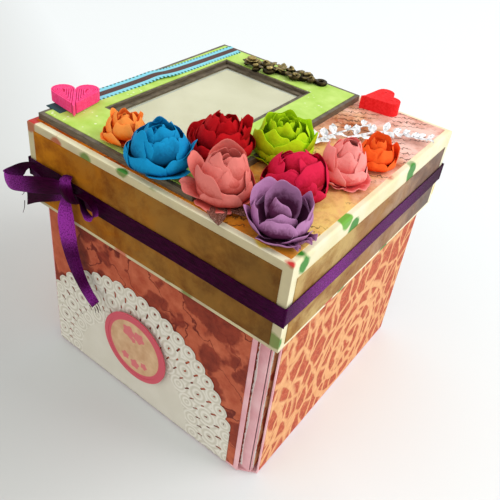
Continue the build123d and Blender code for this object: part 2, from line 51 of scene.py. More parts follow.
def linear(hex_colour):
    """An sRGB hex colour as linear red, green, blue and a full alpha."""
    parts = [int(hex_colour[i:i + 2], 16) / 255 for i in (1, 3, 5)]
    return tuple(p / 12.92 if p <= 0.04045 else ((p + 0.055) / 1.055) ** 2.4 for p in parts) + (1.0,)


def join(tree, source, socket):
    """Give a socket a value, or link it to another socket or to a node's first output."""
    if isinstance(source, bpy.types.Node):
        source = source.outputs[0]
    if isinstance(source, bpy.types.NodeSocket):
        tree.links.new(source, socket)
    else:
        socket.default_value = source


def add_node(tree, kind, inputs=None, stops=(), **settings):
    """Add a shader node with its settings, what joins its inputs, and a ramp's stops."""
    made = tree.nodes.new("ShaderNode" + kind)
    for name, value in settings.items():
        setattr(made, name, value)
    for name, source in (inputs or {}).items():
        join(tree, source, made.inputs[name])
    for index, (place, hex_colour) in enumerate(stops):
        ramp = made.color_ramp.elements
        stop = ramp[index] if index < 2 else ramp.new(place)
        stop.position = place
        stop.color = linear(hex_colour)
    return made


def start_material(name, roughness, shine=0.22):
    """A new material: itself, its tree, its shader and places in the row's own metres."""
    material = bpy.data.materials.new(name)
    material.use_nodes = True
    tree = material.node_tree
    shader = tree.nodes["Principled BSDF"]
    shader.inputs["Roughness"].default_value = roughness
    shader.inputs["Specular IOR Level"].default_value = shine
    place = add_node(tree, "TexCoord").outputs["Object"]
    return material, tree, shader, place


def finish_material(tree, shader, colour, height, depth):
    """Join a colour and a relief of so many metres to the shader."""
    join(tree, colour, shader.inputs["Base Color"])
    relief = add_node(tree, "Bump", {"Height": height, "Distance": depth, "Strength": 0.7})
    join(tree, relief, shader.inputs["Normal"])


def dress(material, *names):
    """Give a material to parts that keep their own shape."""
    for name in names:
        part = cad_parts[name]
        if not part.material_slots:
            part.data.materials.append(material)
        for slot in part.material_slots:
            slot.material = material


def per(size):
    """A pattern's scale for a feature of so many millimetres."""
    return 1 / (size * mm)


def dyed_card(name, pale, deep):
    """Uncoated dyed card: cloudy colour over 12 mm, and a fine felt tooth."""
    material, tree, shader, place = start_material(name, 0.82)
    cloud = add_node(tree, "TexNoise", {"Vector": place, "Scale": per(12), "Detail": 5.0})
    colour = add_node(tree, "ValToRGB", {"Fac": cloud}, stops=((0.32, deep), (0.68, pale)))
    # the real tooth is about 0.1 mm, drawn at 0.6 mm so that it shows
    tooth = add_node(tree, "TexNoise", {"Vector": place, "Scale": per(0.6), "Detail": 2.0})
    finish_material(tree, shader, colour, tooth, 0.06 * mm)
    return material


pink_card = dyed_card("dyed_pink_card", "#F2C4C6", "#E2A4AA")
dress(pink_card, "outer_layer", "middle_layer", "inner_layer")

# Printed papers on the flaps
# Light scrapbook papers glued on each flap: a leafy print on the front and back, a lace
# scroll print on the sides. The ink is matt and a little uneven, over a smooth wove paper.


def torn_edge(tree, place, axis, colour, half):
    """Whiten a paper towards its upright torn edges, where its core shows."""
    axes = add_node(tree, "SeparateXYZ", {0: place})
    out = add_node(tree, "Math", {0: axes.outputs[axis]}, operation="ABSOLUTE")
    ragged = add_node(tree, "TexNoise", {"Vector": place, "Scale": per(3), "Detail": 4.0})
    reach = add_node(tree, "Math", {0: ragged, 1: 2.4 * mm, 2: out}, operation="MULTIPLY_ADD")
    core = add_node(tree, "MapRange", {0: reach, 1: half - 0.2 * mm, 2: half})
    return add_node(tree, "Mix", {0: core, 6: colour, 7: linear("#F6EFE8")}, data_type="RGBA").outputs[2]


def leafy_print(name, torn_half=None):
    """Terracotta ground with clusters of maroon leaves about 12 mm long, and thin tendrils."""
    material, tree, shader, place = start_material(name, 0.62)
    drift = add_node(tree, "TexNoise", {"Vector": place, "Scale": per(11), "Detail": 4.0})
    centred = add_node(tree, "VectorMath", {0: drift.outputs["Color"], 1: (0.5, 0.5, 0.5)},
                       operation="SUBTRACT")
    pushed = add_node(tree, "VectorMath", {0: centred, "Scale": 17 * mm}, operation="SCALE")
    warped = add_node(tree, "VectorMath", {0: place, 1: pushed}, operation="ADD")
    leaf = add_node(tree, "TexVoronoi", {"Vector": warped, "Scale": per(13)})
    cluster = add_node(tree, "TexNoise", {"Vector": place, "Scale": per(36), "Detail": 2.0})
    reach = add_node(tree, "Math", {0: cluster, 1: 1.7, 2: -0.3}, operation="MULTIPLY_ADD")
    inside = add_node(tree, "Math", {0: reach, 1: leaf}, operation="SUBTRACT")
    leaf_mask = add_node(tree, "ValToRGB", {"Fac": inside}, stops=((0.0, "#000000"), (0.12, "#F0F0F0")))
    cloud = add_node(tree, "TexNoise", {"Vector": place, "Scale": per(7), "Detail": 6.0, "Roughness": 0.65})
    ground = add_node(tree, "ValToRGB", {"Fac": cloud}, stops=((0.3, "#A84428"), (0.7, "#C96A48")))
    leaves = add_node(tree, "ValToRGB", {"Fac": cloud}, stops=((0.35, "#661A0E"), (0.68, "#96341E")))
    shoot = add_node(tree, "TexNoise", {"Vector": warped, "Scale": per(19), "Detail": 1.0})
    level = add_node(tree, "Math", {0: shoot, 1: 0.5}, operation="SUBTRACT")
    width = add_node(tree, "Math", {0: level}, operation="ABSOLUTE")
    tendril = add_node(tree, "ValToRGB", {"Fac": width}, stops=((0.006, "#FFFFFF"), (0.014, "#000000")))
    under = add_node(tree, "Mix", {0: tendril, 6: ground, 7: linear("#6E2012")}, data_type="RGBA")
    colour = add_node(tree, "Mix", {0: leaf_mask, 6: under.outputs[2], 7: leaves},
                      data_type="RGBA").outputs[2]
    if torn_half:
        colour = torn_edge(tree, place, "X", colour, torn_half)
    grain = add_node(tree, "TexNoise", {"Vector": place, "Scale": per(0.5), "Detail": 2.0})
    finish_material(tree, shader, colour, grain, 0.03 * mm)
    return material


def scroll_print(name, torn_half=None):
    """Coral and maroon petals in a peach lace net, with peach scrolls about 80 mm across."""
    material, tree, shader, place = start_material(name, 0.62)
    axes = add_node(tree, "SeparateXYZ", {0: place})
    tile = 96 * mm
    local = []
    # where the first scroll's middle falls, as shares of a tile
    for axis, start in (("Y", 0.385), ("Z", 0.156)):
        along = add_node(tree, "Math", {0: axes.outputs[axis], 1: 1 / tile, 2: start},
                         operation="MULTIPLY_ADD")
        share = add_node(tree, "Math", {0: along}, operation="FRACT")
        local.append(add_node(tree, "Math", {0: share, 1: 0.5}, operation="SUBTRACT"))
    angle = add_node(tree, "Math", {0: local[1], 1: local[0]}, operation="ARCTAN2")
    flat = add_node(tree, "CombineXYZ", {0: local[0], 1: local[1]})
    radius = add_node(tree, "VectorMath", {0: flat}, operation="LENGTH")
    turns = add_node(tree, "Math", {0: angle, 1: 1 / (2 * pi)}, operation="MULTIPLY")
    winds = add_node(tree, "Math", {0: radius.outputs["Value"], 1: 8.0, 2: turns}, operation="MULTIPLY_ADD")
    wobble = add_node(tree, "TexNoise", {"Vector": place, "Scale": per(14), "Detail": 3.0})
    loose = add_node(tree, "Math", {0: wobble, 1: 0.35, 2: winds}, operation="MULTIPLY_ADD")
    phase = add_node(tree, "Math", {0: loose}, operation="FRACT")
    off_line = add_node(tree, "Math", {0: phase, 1: 0.5}, operation="SUBTRACT")
    off_abs = add_node(tree, "Math", {0: off_line}, operation="ABSOLUTE")
    band = add_node(tree, "ValToRGB", {"Fac": off_abs}, stops=((0.15, "#FFFFFF"), (0.21, "#000000")))
    near = add_node(tree, "ValToRGB", {"Fac": radius.outputs["Value"]},
                    stops=((0.4, "#FFFFFF"), (0.44, "#000000")))
    scroll = add_node(tree, "Math", {0: band, 1: near}, operation="MULTIPLY")
    drift = add_node(tree, "VectorMath", {0: wobble.outputs["Color"], "Scale": 9 * mm}, operation="SCALE")
    warped = add_node(tree, "VectorMath", {0: place, 1: drift}, operation="ADD")
    slant = add_node(tree, "Mapping", {"Vector": warped, "Rotation": (radians(38), 0, 0),
                                       "Scale": (1, 1.55, 0.85)})
    net = add_node(tree, "TexVoronoi", {"Vector": slant, "Scale": per(15)}, feature="DISTANCE_TO_EDGE")
    mesh_line = add_node(tree, "ValToRGB", {"Fac": net}, stops=((0.04, "#FFFFFF"), (0.13, "#000000")))
    fine = add_node(tree, "TexVoronoi", {"Vector": warped, "Scale": per(3.6)}, feature="DISTANCE_TO_EDGE")
    thread = add_node(tree, "ValToRGB", {"Fac": fine}, stops=((0.02, "#8A8A8A"), (0.09, "#000000")))
    lines = add_node(tree, "Math", {0: mesh_line, 1: scroll}, operation="MAXIMUM")
    lace = add_node(tree, "Math", {0: lines, 1: thread}, operation="MAXIMUM")
    cloud = add_node(tree, "TexNoise", {"Vector": place, "Scale": per(5), "Detail": 6.0, "Roughness": 0.7})
    petals = add_node(tree, "ValToRGB", {"Fac": cloud},
                      stops=((0.3, "#9C361E"), (0.55, "#C25232"), (0.75, "#CC6C44")))
    peach = add_node(tree, "ValToRGB", {"Fac": cloud}, stops=((0.3, "#DE9860"), (0.7, "#F2BC86")))
    colour = add_node(tree, "Mix", {0: lace, 6: petals, 7: peach}, data_type="RGBA").outputs[2]
    if torn_half:
        colour = torn_edge(tree, place, "Y", colour, torn_half)
    grain = add_node(tree, "TexNoise", {"Vector": place, "Scale": per(0.5), "Detail": 2.0})
    finish_material(tree, shader, colour, grain, 0.03 * mm)
    return material


dress(leafy_print("leafy_printed_paper"), "outer_front_paper", "outer_back_paper")
dress(scroll_print("scroll_printed_paper"), "outer_right_paper", "outer_left_paper")
leafy_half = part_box("middle_front_paper")[1][0]
scroll_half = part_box("middle_right_paper")[1][1]
dress(leafy_print("torn_leafy_paper", leafy_half), "middle_front_paper", "middle_back_paper")
dress(scroll_print("torn_scroll_paper", scroll_half), "middle_right_paper", "middle_left_paper")

# Lace doily
# A round of white paper, pierced and pressed between dies, cut straight at the flap's foot and
# side. The pressing leaves raised rings in each scallop and round two rows of wheels.


def add_piece(name, node, body, material, points, faces, thickness, offset=-1.0, marks=None,
              smooth=True):
    """Make a sheet so many millimetres thick that takes the place of a node.

    Its points are in the row's metres. Marks are values kept at each point for its material.
    """
    mesh = bpy.data.meshes.new(name)
    mesh.from_pydata([tuple(p) for p in points], [], [tuple(f) for f in faces])
    for mark, values in (marks or {}).items():
        layer = mesh.attributes.new(mark, "FLOAT", "POINT")
        layer.data.foreach_set("value", np.asarray(values, dtype=np.float32))
    mesh.polygons.foreach_set("use_smooth", [smooth] * len(mesh.polygons))
    mesh.materials.append(material)
    piece = bpy.data.objects.new(name, mesh)
    bpy.context.scene.collection.objects.link(piece)
    sheet = piece.modifiers.new("thickness", "SOLIDIFY")
    sheet.thickness = thickness * mm
    sheet.offset = offset
    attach(piece, body)
    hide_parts(node)
    return piece


def grid_faces(rows, columns, start):
    """The quads of a grid of points whose first point has the number start."""
    return [
        (start + r * columns + c, start + r * columns + c + 1,
         start + (r + 1) * columns + c + 1, start + (r + 1) * columns + c)
        for r in range(rows - 1) for c in range(columns - 1)
    ]


def pressed_paper(name):
    """White paper with painted shade in its pressed hollows, where the relief is low, and a fine grain."""
    material, tree, shader, place = start_material(name, 0.7)
    raised = add_node(tree, "Attribute", attribute_name="raised").outputs["Fac"]
    cloud = add_node(tree, "TexNoise", {"Vector": place, "Scale": per(16), "Detail": 4.0})
    # painted shade: the colour darkens where the raised mark, the relief's height, is low
    mixed = add_node(tree, "Math", {0: cloud, 1: 0.5, 2: raised}, operation="MULTIPLY_ADD")
    colour = add_node(tree, "ValToRGB", {"Fac": mixed},
                      stops=((0.0, "#C8C1AF"), (0.6, "#D8D2C1"), (1.3, "#E7E2D4")))
    grain = add_node(tree, "TexNoise", {"Vector": place, "Scale": per(0.6), "Detail": 2.0})
    finish_material(tree, shader, colour, grain, 0.04 * mm)
    return material


lace_low, lace_high = (np.array(corner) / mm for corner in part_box("doily"))
# the middle of the round, just above the flap's foot
lace_x, lace_z = -9.5, 4.5
lace_radius = lace_high[2] - lace_z
scallops, scallop_radius = 52, 4.6
cells_per_scallop = 14
# each row of pressed wheels: how deep it reaches from the rim, its ring's inset, how many wheels
# it has, their shift along the ring, and how far apart their rings are
wheel_rows = ((9.5, scallop_radius, scallops, 0, 2.3), (23, 16.5, scallops // 2, 0.5, 2.9),
              (33, 28, scallops // 2, 0, 2.4))
smooth_height, wheel_height = 0.4, 0.45
hole_rings, first_hole_inset, hole_ring_step = 4, 4.2, 6.2
eyelet_half, slot_half = 0.75, 1.8
# the paper stays whole so close to its cut edges
whole_margin = 4
pad_low, pad_high = (np.array(corner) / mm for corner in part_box("badge_pad"))
pad_middle, pad_radius = (pad_low + pad_high) / 2, (pad_high[0] - pad_low[0]) / 2


def lace_rim(angle):
    """How far the sheet reaches from its centre: scallops round it, cut off at the flap's edges."""
    turn = 2 * pi / scallops
    off = (angle + turn / 2) % turn - turn / 2
    ring = lace_radius - scallop_radius
    scallop = ring * cos(off) + (scallop_radius ** 2 - (ring * sin(off)) ** 2) ** 0.5
    reach = max(lace_radius - scallop_radius / 2, scallop)
    if cos(angle) > 0:
        reach = min(reach, (lace_high[0] - lace_x) / cos(angle))
    if cos(angle) < 0:
        reach = min(reach, (lace_low[0] - lace_x) / cos(angle))
    if sin(angle) < 0:
        reach = min(reach, (lace_low[2] - lace_z) / sin(angle))
    return reach


def from_wheel(radius, angle, count, ring, shift):
    """The distance to the nearest of some wheels set evenly on a ring."""
    step = 2 * pi / count
    off = (angle + (0.5 - shift) * step) % step - step / 2
    return ((radius * cos(off) - ring) ** 2 + (radius * sin(off)) ** 2) ** 0.5


def pressing(radius, angle):
    """The height of the relief, from 0 to 1: rings in each scallop, and in two rows of wheels."""
    for depth, inset, count, shift, spacing in wheel_rows:
        if radius > lace_radius - depth:
            break
    else:
        return smooth_height
    wave = cos(2 * pi * from_wheel(radius, angle, count, lace_radius - inset, shift) / spacing)
    x, z = lace_x + radius * cos(angle), lace_z + radius * sin(angle)
    from_pad = ((x - pad_middle[0]) ** 2 + (z - pad_middle[2]) ** 2) ** 0.5 - pad_radius
    return smooth_height + min(1, max(0, from_pad - 1)) * wheel_height * wave


def pierced(radius, cell, x, z):
    """Whether a cell is cut out: eyelets and slots in turn on their rings, clear of the edges."""
    if not lace_low[0] + whole_margin <= x <= lace_high[0] - whole_margin or z < lace_low[2] + whole_margin:
        return False
    middle_cells = (cells_per_scallop // 2 - 1, cells_per_scallop // 2)
    for row in range(hole_rings):
        off = abs(radius - (lace_radius - first_hole_inset - hole_ring_step * row))
        place = (cell + cells_per_scallop // 2 * (1 - row % 2)) % cells_per_scallop
        if off < (eyelet_half, slot_half)[row % 2] and place in middle_cells:
            return True
    return False


ring_radii = list(np.linspace(3, 38, 8)) + list(np.arange(39, lace_radius + 0.35, 0.7))
sectors = cells_per_scallop * scallops
lace_points, lace_faces, lace_raised, numbers = [], [], [], {}


def lace_point(ring, sector):
    """The number of a point of the sheet, made when it is first asked for."""
    angle = 2 * pi * (sector % sectors) / sectors
    radius = min(ring_radii[ring], lace_rim(angle))
    key = (ring, sector % sectors)
    if key not in numbers:
        numbers[key] = len(lace_points)
        height = pressing(radius, angle)
        lace_points.append(((lace_x + radius * cos(angle)) * mm, (lace_high[1] - 0.1 - 0.3 * height) * mm,
                            (lace_z + radius * sin(angle)) * mm))
        lace_raised.append(height)
    return numbers[key]


for ring in range(len(ring_radii) - 1):
    middle = (ring_radii[ring] + ring_radii[ring + 1]) / 2
    for sector in range(sectors):
        angle = 2 * pi * (sector + 0.5) / sectors
        if ring_radii[ring] > min(lace_rim(angle - pi / sectors), lace_rim(angle + pi / sectors)) - 0.05:
            continue
        if pierced(middle, sector, lace_x + middle * cos(angle), lace_z + middle * sin(angle)):
            continue
        lace_faces.append((lace_point(ring, sector), lace_point(ring + 1, sector),
                           lace_point(ring + 1, sector + 1), lace_point(ring, sector + 1)))
lace_faces.append([lace_point(0, sector) for sector in range(sectors)])
add_piece("pressed_doily", "doily", "box", pressed_paper("pressed_lace_paper"), lace_points,
          lace_faces, thickness=0.15, offset=0, marks={"raised": lace_raised})

# Badge on a foam pad
# A die-cut disc of white card on a round of foam tape, printed with a coral ring, a tan field
# and plain ornaments, and sealed with a thin gloss varnish.


def foam_tape(name):
    """White foam with cells of about 0.5 mm."""
    material, tree, shader, place = start_material(name, 0.9)
    cells = add_node(tree, "TexVoronoi", {"Vector": place, "Scale": per(0.5)})
    colour = add_node(tree, "ValToRGB", {"Fac": cells}, stops=((0.1, "#CFCCC4"), (0.6, "#F2F0EA")))
    finish_material(tree, shader, colour, cells, 0.1 * mm)
    return material


def printed_badge(name, centre, outer):
    """Coral rim, tan field, and soft coral blossoms above and below its bare middle."""
    material, tree, shader, place = start_material(name, 0.38, 0.5)
    cloud = add_node(tree, "TexNoise", {"Vector": place, "Scale": per(5), "Detail": 4.0})
    field = add_node(tree, "ValToRGB", {"Fac": cloud}, stops=((0.3, "#C6966A"), (0.7, "#DCB68A")))
    colour = field.outputs["Color"]
    # each blossom's place from the disc's middle and its radius, in millimetres
    blooms = ((-4.0, 9.6, 5.0), (3.4, 9.4, 4.4), (-0.6, 5.4, 2.2),
              (-6.5, -9.5, 3.2), (0.5, -11.8, 3.8), (7.0, -9.2, 2.8))
    for index, (x, z, size) in enumerate(blooms):
        bloom_place = (-centre[0] - x * mm, 0, -centre[2] - z * mm)
        off = add_node(tree, "Mapping", {"Vector": place, "Location": bloom_place})
        axes = add_node(tree, "SeparateXYZ", {0: off})
        flat = add_node(tree, "CombineXYZ", {0: axes.outputs["X"], 1: axes.outputs["Z"]})
        radius = add_node(tree, "VectorMath", {0: flat}, operation="LENGTH")
        angle = add_node(tree, "Math", {0: axes.outputs["Z"], 1: axes.outputs["X"]}, operation="ARCTAN2")
        lobes = add_node(tree, "Math", {0: angle, 1: 5.0, 2: 1.3 * index}, operation="MULTIPLY_ADD")
        lobe = add_node(tree, "Math", {0: lobes}, operation="COSINE")
        reach = add_node(tree, "Math", {0: lobe, 1: 0.12 * size * mm, 2: 0.84 * size * mm},
                         operation="MULTIPLY_ADD")
        within = add_node(tree, "Math", {0: reach, 1: radius.outputs["Value"]}, operation="SUBTRACT")
        mask = add_node(tree, "MapRange", {0: within, 1: 0.0, 2: 0.3 * mm, 4: 0.9})
        colour = add_node(tree, "Mix", {0: mask, 6: colour, 7: linear("#D8606A")},
                          data_type="RGBA").outputs[2]
    moved = add_node(tree, "Mapping", {"Vector": place, "Location": (-centre[0], 0, -centre[2])})
    axes = add_node(tree, "SeparateXYZ", {0: moved})
    flat = add_node(tree, "CombineXYZ", {0: axes.outputs["X"], 1: axes.outputs["Z"]})
    radius = add_node(tree, "VectorMath", {0: flat}, operation="LENGTH")
    share = add_node(tree, "Math", {0: radius.outputs["Value"], 1: 1 / outer}, operation="MULTIPLY")
    rim = add_node(tree, "ValToRGB", {"Fac": share}, stops=((0.785, "#000000"), (0.8, "#FFFFFF")))
    ringed = add_node(tree, "Mix", {0: rim, 6: colour, 7: linear("#D0485A")}, data_type="RGBA")
    grain = add_node(tree, "TexNoise", {"Vector": place, "Scale": per(0.7), "Detail": 2.0})
    finish_material(tree, shader, ringed.outputs[2], grain, 0.02 * mm)
    return material


dress(foam_tape("white_foam_tape"), "badge_pad")
badge_low, badge_high = (Vector(corner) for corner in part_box("badge"))
badge_middle, badge_radius = (badge_low + badge_high) / 2, (badge_high.x - badge_low.x) / 2
dress(printed_badge("varnished_print_card", badge_middle, badge_radius), "badge")

# Lid tray
# Floral gift-wrap card, folded into a tray with glued tabs. Only its borders show round the
# papers: a cream ground with sparse green leaves, red buds and yellow blooms.


def floral_card(name):
    """Cream card with a few printed leaves and buds about 10 mm across, under a soft satin coat."""
    material, tree, shader, place = start_material(name, 0.42)
    drift = add_node(tree, "TexNoise", {"Vector": place, "Scale": per(5), "Detail": 3.0})
    push = add_node(tree, "VectorMath", {0: drift.outputs["Color"], "Scale": 3 * mm}, operation="SCALE")
    warped = add_node(tree, "VectorMath", {0: place, 1: push}, operation="ADD")
    motif = add_node(tree, "TexVoronoi", {"Vector": warped, "Scale": per(14)})
    which = add_node(tree, "SeparateColor", {0: motif.outputs["Color"]})
    shown = add_node(tree, "ValToRGB", {"Fac": motif}, stops=((0.3, "#FFFFFF"), (0.38, "#000000")))
    sparse = add_node(tree, "Math", {0: which.outputs["Red"], 1: 0.72}, operation="LESS_THAN")
    mask = add_node(tree, "Math", {0: shown, 1: sparse}, operation="MULTIPLY")
    tints = add_node(tree, "ValToRGB", {"Fac": which.outputs["Green"]},
                     stops=((0.0, "#3E8A2C"), (0.45, "#6FAE3A"), (0.5, "#C8342E"), (0.75, "#E46A58"),
                            (0.78, "#F2D45A")))
    tints.color_ramp.interpolation = "CONSTANT"
    cloud = add_node(tree, "TexNoise", {"Vector": place, "Scale": per(18), "Detail": 3.0})
    cream = add_node(tree, "ValToRGB", {"Fac": cloud}, stops=((0.35, "#E9DFB0"), (0.65, "#F2ECCC")))
    colour = add_node(tree, "Mix", {0: mask, 6: cream, 7: tints}, data_type="RGBA")
    # painted shade: the front side faces away from the window light, so it is mixed towards a browner grey in
    # soft clouds
    axes = add_node(tree, "SeparateXYZ", {0: place})
    front_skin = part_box("lid_tray")[0][1] + 0.3 * mm
    front = add_node(tree, "Math", {0: axes.outputs["Y"], 1: front_skin}, operation="LESS_THAN")
    front_shade = add_node(tree, "Math", {0: front, 1: cloud}, operation="MULTIPLY")
    front_shaded = add_node(tree, "Mix", {0: front_shade, 6: colour.outputs[2], 7: linear("#A08A5C")}, data_type="RGBA")
    finish_material(tree, shader, front_shaded.outputs[2], cloud, 0.05 * mm)
    return material


dress(floral_card("floral_gift_card"), "lid_tray")

# Papers on the lid
# Distressed scrapbook papers, glued on the card: the sides are stained ochre and tan, the top is
# washed in orange, yellow and peach, with brown damp stains and worn pen strokes.


def pen_scribble(tree, place, colour, slope):
    """Lines of joined-up pen strokes 5 mm apart, worn away in patches."""
    turned = add_node(tree, "Mapping", {"Vector": place, "Rotation": (0, 0, radians(slope))})
    squeezed = add_node(tree, "Mapping", {"Vector": turned, "Scale": (1.3, 0.5, 1)})
    wobble = add_node(tree, "TexNoise", {"Vector": squeezed, "Scale": per(2.4), "Detail": 2.5})
    axes = add_node(tree, "SeparateXYZ", {0: turned})
    lines = add_node(tree, "Math", {0: axes.outputs["Y"], 1: per(5)}, operation="MULTIPLY")
    shaken = add_node(tree, "Math", {0: wobble, 1: 1.5, 2: lines}, operation="MULTIPLY_ADD")
    phase = add_node(tree, "Math", {0: shaken}, operation="FRACT")
    off_line = add_node(tree, "Math", {0: phase, 1: 0.5}, operation="SUBTRACT")
    off_abs = add_node(tree, "Math", {0: off_line}, operation="ABSOLUTE")
    stroke = add_node(tree, "MapRange", {0: off_abs, 1: 0.05, 2: 0.12, 3: 1.0, 4: 0.0})
    worn = add_node(tree, "TexNoise", {"Vector": place, "Scale": per(24), "Detail": 3.0})
    left = add_node(tree, "MapRange", {0: worn, 1: 0.49, 2: 0.55, 4: 0.8})
    mask = add_node(tree, "Math", {0: stroke, 1: left}, operation="MULTIPLY")
    return add_node(tree, "Mix", {0: mask, 6: colour, 7: linear("#46301C")}, data_type="RGBA").outputs[2]


def distressed_paper(name, direction, washes, stain, stain_share, pen_slope=None):
    """Paper whose wash changes along a direction, with stains of 20 mm and perhaps pen lines."""
    material, tree, shader, place = start_material(name, 0.7, 0.1)
    reach = add_node(tree, "VectorMath", {0: place, 1: direction}, operation="DOT_PRODUCT")
    # this runs from 0 to 1 across the lid
    run = add_node(tree, "Math", {0: reach.outputs["Value"], 1: 1 / lid_side, 2: 0.5},
                   operation="MULTIPLY_ADD")
    blots = add_node(tree, "TexNoise", {"Vector": place, "Scale": per(20), "Detail": 7.0, "Roughness": 0.62,
                                        "Distortion": 0.6})
    shift = add_node(tree, "Math", {0: blots, 1: 0.9, 2: -0.45}, operation="MULTIPLY_ADD")
    wash = add_node(tree, "Math", {0: run, 1: shift}, operation="ADD")
    base = add_node(tree, "ValToRGB", {"Fac": wash}, stops=washes)
    damp = add_node(tree, "TexNoise", {"Vector": place, "Scale": per(22), "Detail": 9.0, "Roughness": 0.7,
                                       "Distortion": 0.3})
    wet = add_node(tree, "MapRange", {0: damp, 1: 0.46, 2: 0.7, 4: stain_share})
    colour = add_node(tree, "Mix", {0: wet, 6: base, 7: linear(stain)}, data_type="RGBA",
                      blend_type="MULTIPLY").outputs[2]
    if pen_slope is not None:
        colour = pen_scribble(tree, place, colour, pen_slope)
    finish_material(tree, shader, colour, damp, 0.05 * mm)
    return material


lid_low, lid_high = (Vector(corner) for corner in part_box("lid_tray"))
lid_side = lid_high.x - lid_low.x
ochre_washes = ((0.0, "#C47A12"), (0.25, "#AA6812"), (0.55, "#98692A"), (1.0, "#755224"))
tan_washes = ((0.0, "#A87C3E"), (0.2, "#C4A66C"), (0.4, "#A2764A"),
              (0.62, "#AC8C70"), (0.8, "#8A7062"), (1.0, "#766860"))
top_washes = ((0.0, "#D06402"), (0.2, "#E88A14"), (0.36, "#DE9A38"),
              (0.52, "#F0CC78"), (0.68, "#ECB878"), (0.95, "#F6C8BA"))
for node, name, direction, washes in (
        ("lid_front_paper", "ochre_stained_paper", (1, 0, 0), ochre_washes),
        ("lid_right_paper", "tan_stained_paper", (0, 1, 0), tan_washes),
        ("lid_back_paper", "ochre_back_paper", (-1, 0, 0), ochre_washes),
        ("lid_left_paper", "tan_left_paper", (0, -1, 0), tan_washes)):
    dress(distressed_paper(name, direction, washes, "#A8743A", 0.85), node)
dress(distressed_paper("washed_top_paper", (0.55, 0.75, 0), top_washes, "#B86A28", 0.9, -34), "lid_top_paper")

# Satin ribbon
# One length of 10 mm polyester satin, tied round the lid with a bow at its left. Its warp floats
# give long soft streaks of light, painted into its colour with violet highlights where it bends,
# and its cut ends fray.
ribbon_steps = 8


def smooth_path(stations, steps):
    """Points between the stations, on a curve that passes through each of them."""
    stations = np.array(stations, dtype=float)
    ends = np.vstack([2 * stations[0] - stations[1], stations, 2 * stations[-1] - stations[-2]])
    path = []
    for i in range(len(stations) - 1):
        before, here, after, later = ends[i:i + 4]
        for t in np.linspace(0, 1, steps, endpoint=False):
            path.append(0.5 * (2 * here + (after - before) * t
                               + (2 * before - 5 * here + 4 * after - later) * t * t
                               + (3 * here - before - 3 * after + later) * t ** 3))
    path.append(ends[-2])
    return np.array(path)


class Cloth:
    """Ribbon strips gathered into one mesh, with how far each point is along and across its strip."""

    def __init__(self):
        self.points, self.faces = [], []
        self.along, self.across, self.painted_sheen = [], [], []

    def strip(self, stations, columns=7, steps=ribbon_steps, crown=0.0, squared=False, painted_sheen=()):
        """Add a strip. A station is its centre, the way across it and its width, in millimetres.

        Highlights painted into the satin's colour are given as places along the strip, how far they spread
        there and their strength.
        """
        path = smooth_path(stations, steps)
        centres, ways, widths = path[:, 0:3], path[:, 3:6], path[:, 6]
        runs = np.gradient(centres, axis=0)
        if squared:
            share_along = np.sum(ways * runs, axis=1) / np.sum(runs * runs, axis=1)
            ways = ways - runs * share_along[:, None]
        ways = ways / np.linalg.norm(ways, axis=1)[:, None]
        normals = np.cross(runs, ways)
        normals /= np.linalg.norm(normals, axis=1)[:, None]
        travelled = np.concatenate([[0], np.cumsum(np.linalg.norm(np.diff(centres, axis=0), axis=1))])
        start = len(self.points)
        # a column close to each edge keeps the ribbon's turned rim out of its smooth shading
        shares = [-1, *np.linspace(-0.96, 0.96, columns), 1]
        for row in range(len(path)):
            for share in shares:
                lift = crown * (1 - share * share)
                point = centres[row] + ways[row] * share * widths[row] / 2 + normals[row] * lift
                self.points.append(tuple(point * mm))
                self.along.append(travelled[row] * mm)
                self.across.append(share)
                self.painted_sheen.append(sum(strength * np.exp(-((travelled[row] - at) / reach) ** 2)
                                      for at, reach, strength in painted_sheen))
        self.faces += grid_faces(len(path), len(shares), start)
        return travelled[-1]


def woven_satin(name, dark, body, bright):
    """Polyester satin: fine lengthwise floats, with painted streaks of light from dark to purple along them
    and painted violet highlights set along each strip.
    """
    material, tree, shader, place = start_material(name, 0.42, 0.035)
    along = add_node(tree, "Attribute", attribute_name="along").outputs["Fac"]
    across = add_node(tree, "Attribute", attribute_name="across").outputs["Fac"]
    painted_sheen = add_node(tree, "Attribute", attribute_name="painted_sheen").outputs["Fac"]
    floats = add_node(tree, "CombineXYZ", {0: along, 1: across})
    stretched = add_node(tree, "Mapping", {"Vector": floats, "Scale": (per(5), 5, 1)})
    # painted streaks of light along the floats, from the dark to the body colour
    streak = add_node(tree, "TexNoise", {"Vector": stretched, "Scale": 1.0, "Detail": 5.0})
    colour = add_node(tree, "ValToRGB", {"Fac": streak}, stops=((0.3, dark), (0.75, body)))
    fine = add_node(tree, "Mapping", {"Vector": floats, "Scale": (per(1.1), 9, 1)})
    speckle = add_node(tree, "TexNoise", {"Vector": fine, "Scale": 1.0, "Detail": 3.0})
    grained = add_node(tree, "MapRange", {0: speckle, 1: 0.35, 2: 0.62, 3: 0.25, 4: 1.4})
    # painted highlight: speckled bright violet where the strip's painted highlight marks are set
    lit = add_node(tree, "Math", {0: grained, 1: painted_sheen}, operation="MULTIPLY")
    clean = add_node(tree, "Math", {0: lit, 1: 0.9}, operation="MINIMUM")
    mixed = add_node(tree, "Mix", {0: clean, 6: colour, 7: linear(bright)}, data_type="RGBA")
    # the real warp is finer than this: 14 floats show across the ribbon
    warp = add_node(tree, "Math", {0: across, 1: 14 * pi}, operation="MULTIPLY")
    ridge = add_node(tree, "Math", {0: warp}, operation="SINE")
    uneven = add_node(tree, "Math", {0: streak, 1: 1.5, 2: ridge}, operation="MULTIPLY_ADD")
    finish_material(tree, shader, mixed.outputs[2], uneven, 0.04 * mm)
    shader.inputs["Specular Tint"].default_value = linear("#C850B0")
    shader.inputs["Anisotropic"].default_value = 0.6
    return material


purple_satin = woven_satin("purple_polyester_satin", "#1E0012", "#3C022C", "#AC3CB4")
satin_width = 10.0
wrap = lid_high.x / mm + 0.75
wrap_corner = 1.3
band_low = 115.0
band_middle = band_low + satin_width / 2
satin = Cloth()


